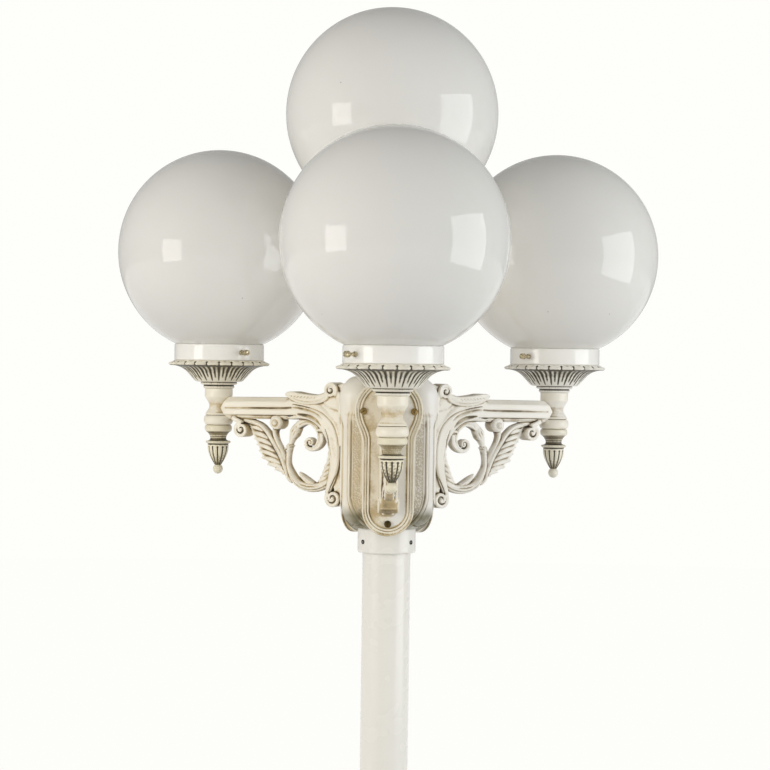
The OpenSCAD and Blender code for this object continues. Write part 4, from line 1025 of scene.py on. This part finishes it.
TV, TQ = lathe(dense(th, 0.5), 72, knurl)
for j in frame["joints"]:
    if j["name"].startswith("thumb_"):
        body = j["child"]
        k = body.split("_")[1]
        ax = Vector(j["axis"]).normalized()
        rot = Vector((0, 0, 1)).rotation_difference(ax).to_matrix().to_4x4()
        Mx = Matrix.Translation(LAMPS[k] + Vector((0, 0, -0.010))) @ rot
        plain_piece("screw_" + body, TV, TQ, M_BRASS, [body], Mx, body)

# ---------------------------------------------------------------- small screws
def slot_screw(r, h):
    """domed head with a slot: rings of a disc whose height dips along the slot"""
    rad = np.concatenate([[0.02], np.linspace(0.3, r, 14), [r + 0.02]])
    zs = [h * (1 - 0.45 * (x / r) ** 2) if x <= r else 0.0 for x in rad]

    def m(R, Z, T):
        s = (np.abs(R * np.sin(T)) < 0.55) & (R < r)
        return R, np.where(s, np.minimum(Z, h * 0.38), Z)
    return lathe(list(zip(rad, zs)), 64, m)

head = slot_screw(4.1, 2.6)
parts = []
for k in ("front", "left", "right"):
    az = ARM_AZ[k]
    for x, z, spin in ((-29.5, -76, 0.5), (29.5, -76, 1.2), (0, -207, 1.57)):
        c, s = math.cos(spin), math.sin(spin)
        R0 = np.array([[c, -s, 0], [s, c, 0], [0, 0, 1.0]])
        R1 = np.array([[1, 0, 0], [0, 0, -1], [0, 1, 0.0]])
        v = head[0] @ R0.T @ R1.T + np.array([x, -44.9, z])
        cz, sz = math.cos(az), math.sin(az)
        v = v @ np.array([[cz, -sz, 0], [sz, cz, 0], [0, 0, 1.0]]).T
        parts.append((v, head[1]))
V, Q = join_parts(parts)
o = plain_piece("plate_screw_heads", V, Q, M_BRONZE, ["arm_screws"], place(0, RIM_AT))
attribute(o.data, "old", (V[:, 2] < -150) * 0.85)

# ---------------------------------------------------------------- post, base
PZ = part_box("post_tube")
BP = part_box("base_plate")[1].z
post = dense([(25.9, 12.0), (28.3, 12.0), (28.3, PZ[1].z / MM), (25.9, PZ[1].z / MM)], 60.0)
V, Q = lathe(post, 144, closed=True)
plain_piece("post_tube_skin", V, Q, M_POST, ["post_tube"], place(0))
plate = dense([(20, 0.0), (149.2, 0.0), (150, 0.8), (150, 10.8), (149, 12), (34, 12), (30.4, 15), (28.4, 17.6), (28.4, 11.8), (20, 11.8)], 6.0)
bell = [(79 + 39 * math.cos(math.pi * t), 26 + 66 * t) for t in np.linspace(0, 1, 40)]
bell_in = [(r - 5, z - 0.5) for r, z in bell[::-1]]
cover = dense([(28.75, 131.4), (28.75, 98)] + bell_in + [(117, 18), (129.5, 11), (129.5, 0.2), (138, 0.05), (139.7, 1.4), (140, 3), (140, 11.6), (139, 13.6), (136.4, 15.6)] + bead(129.6, 16.4, 20.6, 2.2, 6) + [(126, 21.6), (122, 23.2), (119, 24.6)] + bell +
              [(42.4, 93.6)] + bead(43.6, 94.4, 103.2, 2.4, 8) + [(40, 104.4), (37.4, 107), (36, 112), (36, 119.4), (37.2, 121)] + bead(37.2, 121.4, 129.6, 1.8, 8) + [(35.8, 130.6), (34.6, 131.8), (29.6, 131.8)], 2.2)

def gadroon(R, Z, T):
    # broad soft gadroons on the bell
    a = np.clip((Z - 27) / 10, 0, 1) * np.clip((82 - Z) / 14, 0, 1) * (R > 36)
    s = np.abs(np.sin(10 * T))
    return R - 2.2 * a * (1 - s ** 0.5), Z

V, Q = lathe(cover, 400, gadroon, closed=True)
cast_piece("base_cover_casting", V, Q, M_ARM, ["base_cover"], place(0, (0, 0, BP - 0.006)), None, "base_cover")

# ---------------------------------------------------------------- nodes that keep their CAD shape
KEEP = {"base_plate": M_POST, "sleeve_screws": M_DARK, "base_cover_screws": M_DARK, "terminal_block": M_BLOCK, "nipples": M_ZINC, "nipple_nuts": M_ZINC, "gallery_gaskets": M_GASK}
for n, o in frame["nodes"].items():
    m = KEEP.get(n) or (M_BULB if n.startswith("bulb_") else M_HOLD if n.startswith("holder_") else None)
    if m:
        o.data.materials.clear()
        o.data.materials.append(m)

# ---------------------------------------------------------------- floor, lights, camera
ft = np.arange(128) * 2 * math.pi / 128
fme = bpy.data.meshes.new("floor")
fme.from_pydata([(14 * math.cos(t), 14 * math.sin(t), -0.0005) for t in ft], [], [tuple(range(128))])
floor = bpy.data.objects.new("floor", fme)
bpy.context.scene.collection.objects.link(floor)
fm, fnt, fb = new_mat("floor_pale")
fco = coords(fnt)
fl = N(fnt, "ShaderNodeVectorMath", operation="LENGTH")
fnt.links.new(fco, fl.inputs[0])
far = ramp(fnt, fl.outputs["Value"], 0.9, 4.6)
fnt.links.new(mix(fnt, far, col(246, 246, 242), (0.0, 0.0, 0.0, 1.0)), fb.inputs["Base Color"])
fnt.links.new(mix(fnt, far, (0.30, 0.30, 0.292, 1.0), (0.985, 0.985, 0.955, 1.0)), fb.inputs["Emission Color"])
fb.inputs["Emission Strength"].default_value = 1.0
fb.inputs["Roughness"].default_value = 0.9
fb.inputs["Specular IOR Level"].default_value = 0.0
floor.data.materials.append(fm)
floor.visible_diffuse = False

scene = bpy.context.scene
scene.view_settings.view_transform = "Standard"
w = bpy.data.worlds.new("studio")
scene.world = w
w.use_nodes = True
nt = w.node_tree
bg = nt.nodes["Background"]
bg.inputs["Color"].default_value = (1.0, 0.995, 0.975, 1)
wz = nt.nodes.new("ShaderNodeSeparateXYZ")
nt.links.new(N(nt, "ShaderNodeTexCoord").outputs["Generated"], wz.inputs[0])
nt.links.new(ramp(nt, wz.outputs["Z"], 0.05, 0.9, 0.485, 0.24), bg.inputs["Strength"])
bg2 = nt.nodes.new("ShaderNodeBackground")
bg2.inputs["Color"].default_value = (0.991, 0.991, 0.958, 1)
bg2.inputs["Strength"].default_value = 1.0
lp = nt.nodes.new("ShaderNodeLightPath")
mx = nt.nodes.new("ShaderNodeMixShader")
nt.links.new(lp.outputs["Is Camera Ray"], mx.inputs[0])
nt.links.new(bg.outputs[0], mx.inputs[1])
nt.links.new(bg2.outputs[0], mx.inputs[2])
nt.links.new(mx.outputs[0], nt.nodes["World Output"].inputs[0])


def area(name, az, dist, height, size, radiance, colour, glossy=True, elev=None):
    """az from the front (-Y), positive to the right; aims at the head"""
    l = bpy.data.lights.new(name, "AREA")
    l.shape = "RECTANGLE"
    l.size, l.size_y = size
    l.energy = radiance * math.pi * size[0] * size[1]
    l.color = colour
    o = bpy.data.objects.new(name, l)
    a = math.radians(az)
    o.location = (dist * math.sin(a), -dist * math.cos(a), height)
    d = Vector((0, 0, RIM + 0.08)) - o.location
    o.rotation_euler = d.to_track_quat("-Z", "Y").to_euler()
    o.visible_glossy = glossy
    bpy.context.scene.collection.objects.link(o)
    return o


area("softbox_left", -56.0, 2.8, RIM + 0.10, (1.10, 1.00), 3.5, (1.0, 0.97, 0.925))
area("softbox_right", 73.0, 2.8, RIM + 0.12, (2.15, 1.95), 2.6, (0.955, 0.985, 1.0))
area("fill_right", 66.0, 3.4, RIM + 0.1, (2.4, 2.4), 0.55, (0.95, 0.985, 1.0), False)
area("fill_left", -58.0, 3.4, RIM + 0.1, (2.6, 2.6), 1.78, (1.0, 0.965, 0.905), False)
area("fill_front", -6.0, 4.0, RIM + 2.4, (2.2, 2.2), 2.0, (1.0, 0.992, 0.975), False)
area("fill_back", 180.0, 4.0, RIM + 0.2, (3.0, 2.2), 0.9, (1.0, 0.995, 0.98), False)

D, AZ, ZC, PAN, TILT, ROLL, F = 2.7387, math.radians(1.092), -0.00925, math.radians(0.091), math.radians(-0.768), math.radians(-0.755), 2320.4
pos = Vector((-D * math.sin(AZ), -D * math.cos(AZ), RIM + ZC))
fwd = Vector((math.sin(AZ), math.cos(AZ), 0)); right = Vector((math.cos(AZ), -math.sin(AZ), 0)); up = Vector((0, 0, 1))
q = Matrix.Rotation(PAN, 3, up); fwd, right = q @ fwd, q @ right
q = Matrix.Rotation(TILT, 3, right); fwd, up = q @ fwd, q @ up
q = Matrix.Rotation(ROLL, 3, fwd); right, up = q @ right, q @ up
cam = bpy.data.cameras.new("camera")
cam.sensor_fit = "HORIZONTAL"
cam.sensor_width = 36.0
cam.lens = 36.0 * F / 770.0
cam.clip_start = 0.05
cam.clip_end = 60.0
co = bpy.data.objects.new("camera", cam)
Rm = Matrix((right, up, -fwd)).transposed()
co.matrix_world = Matrix.Translation(pos) @ Rm.to_4x4()
scene.collection.objects.link(co)
scene.camera = co

bpy.context.view_layer.update()
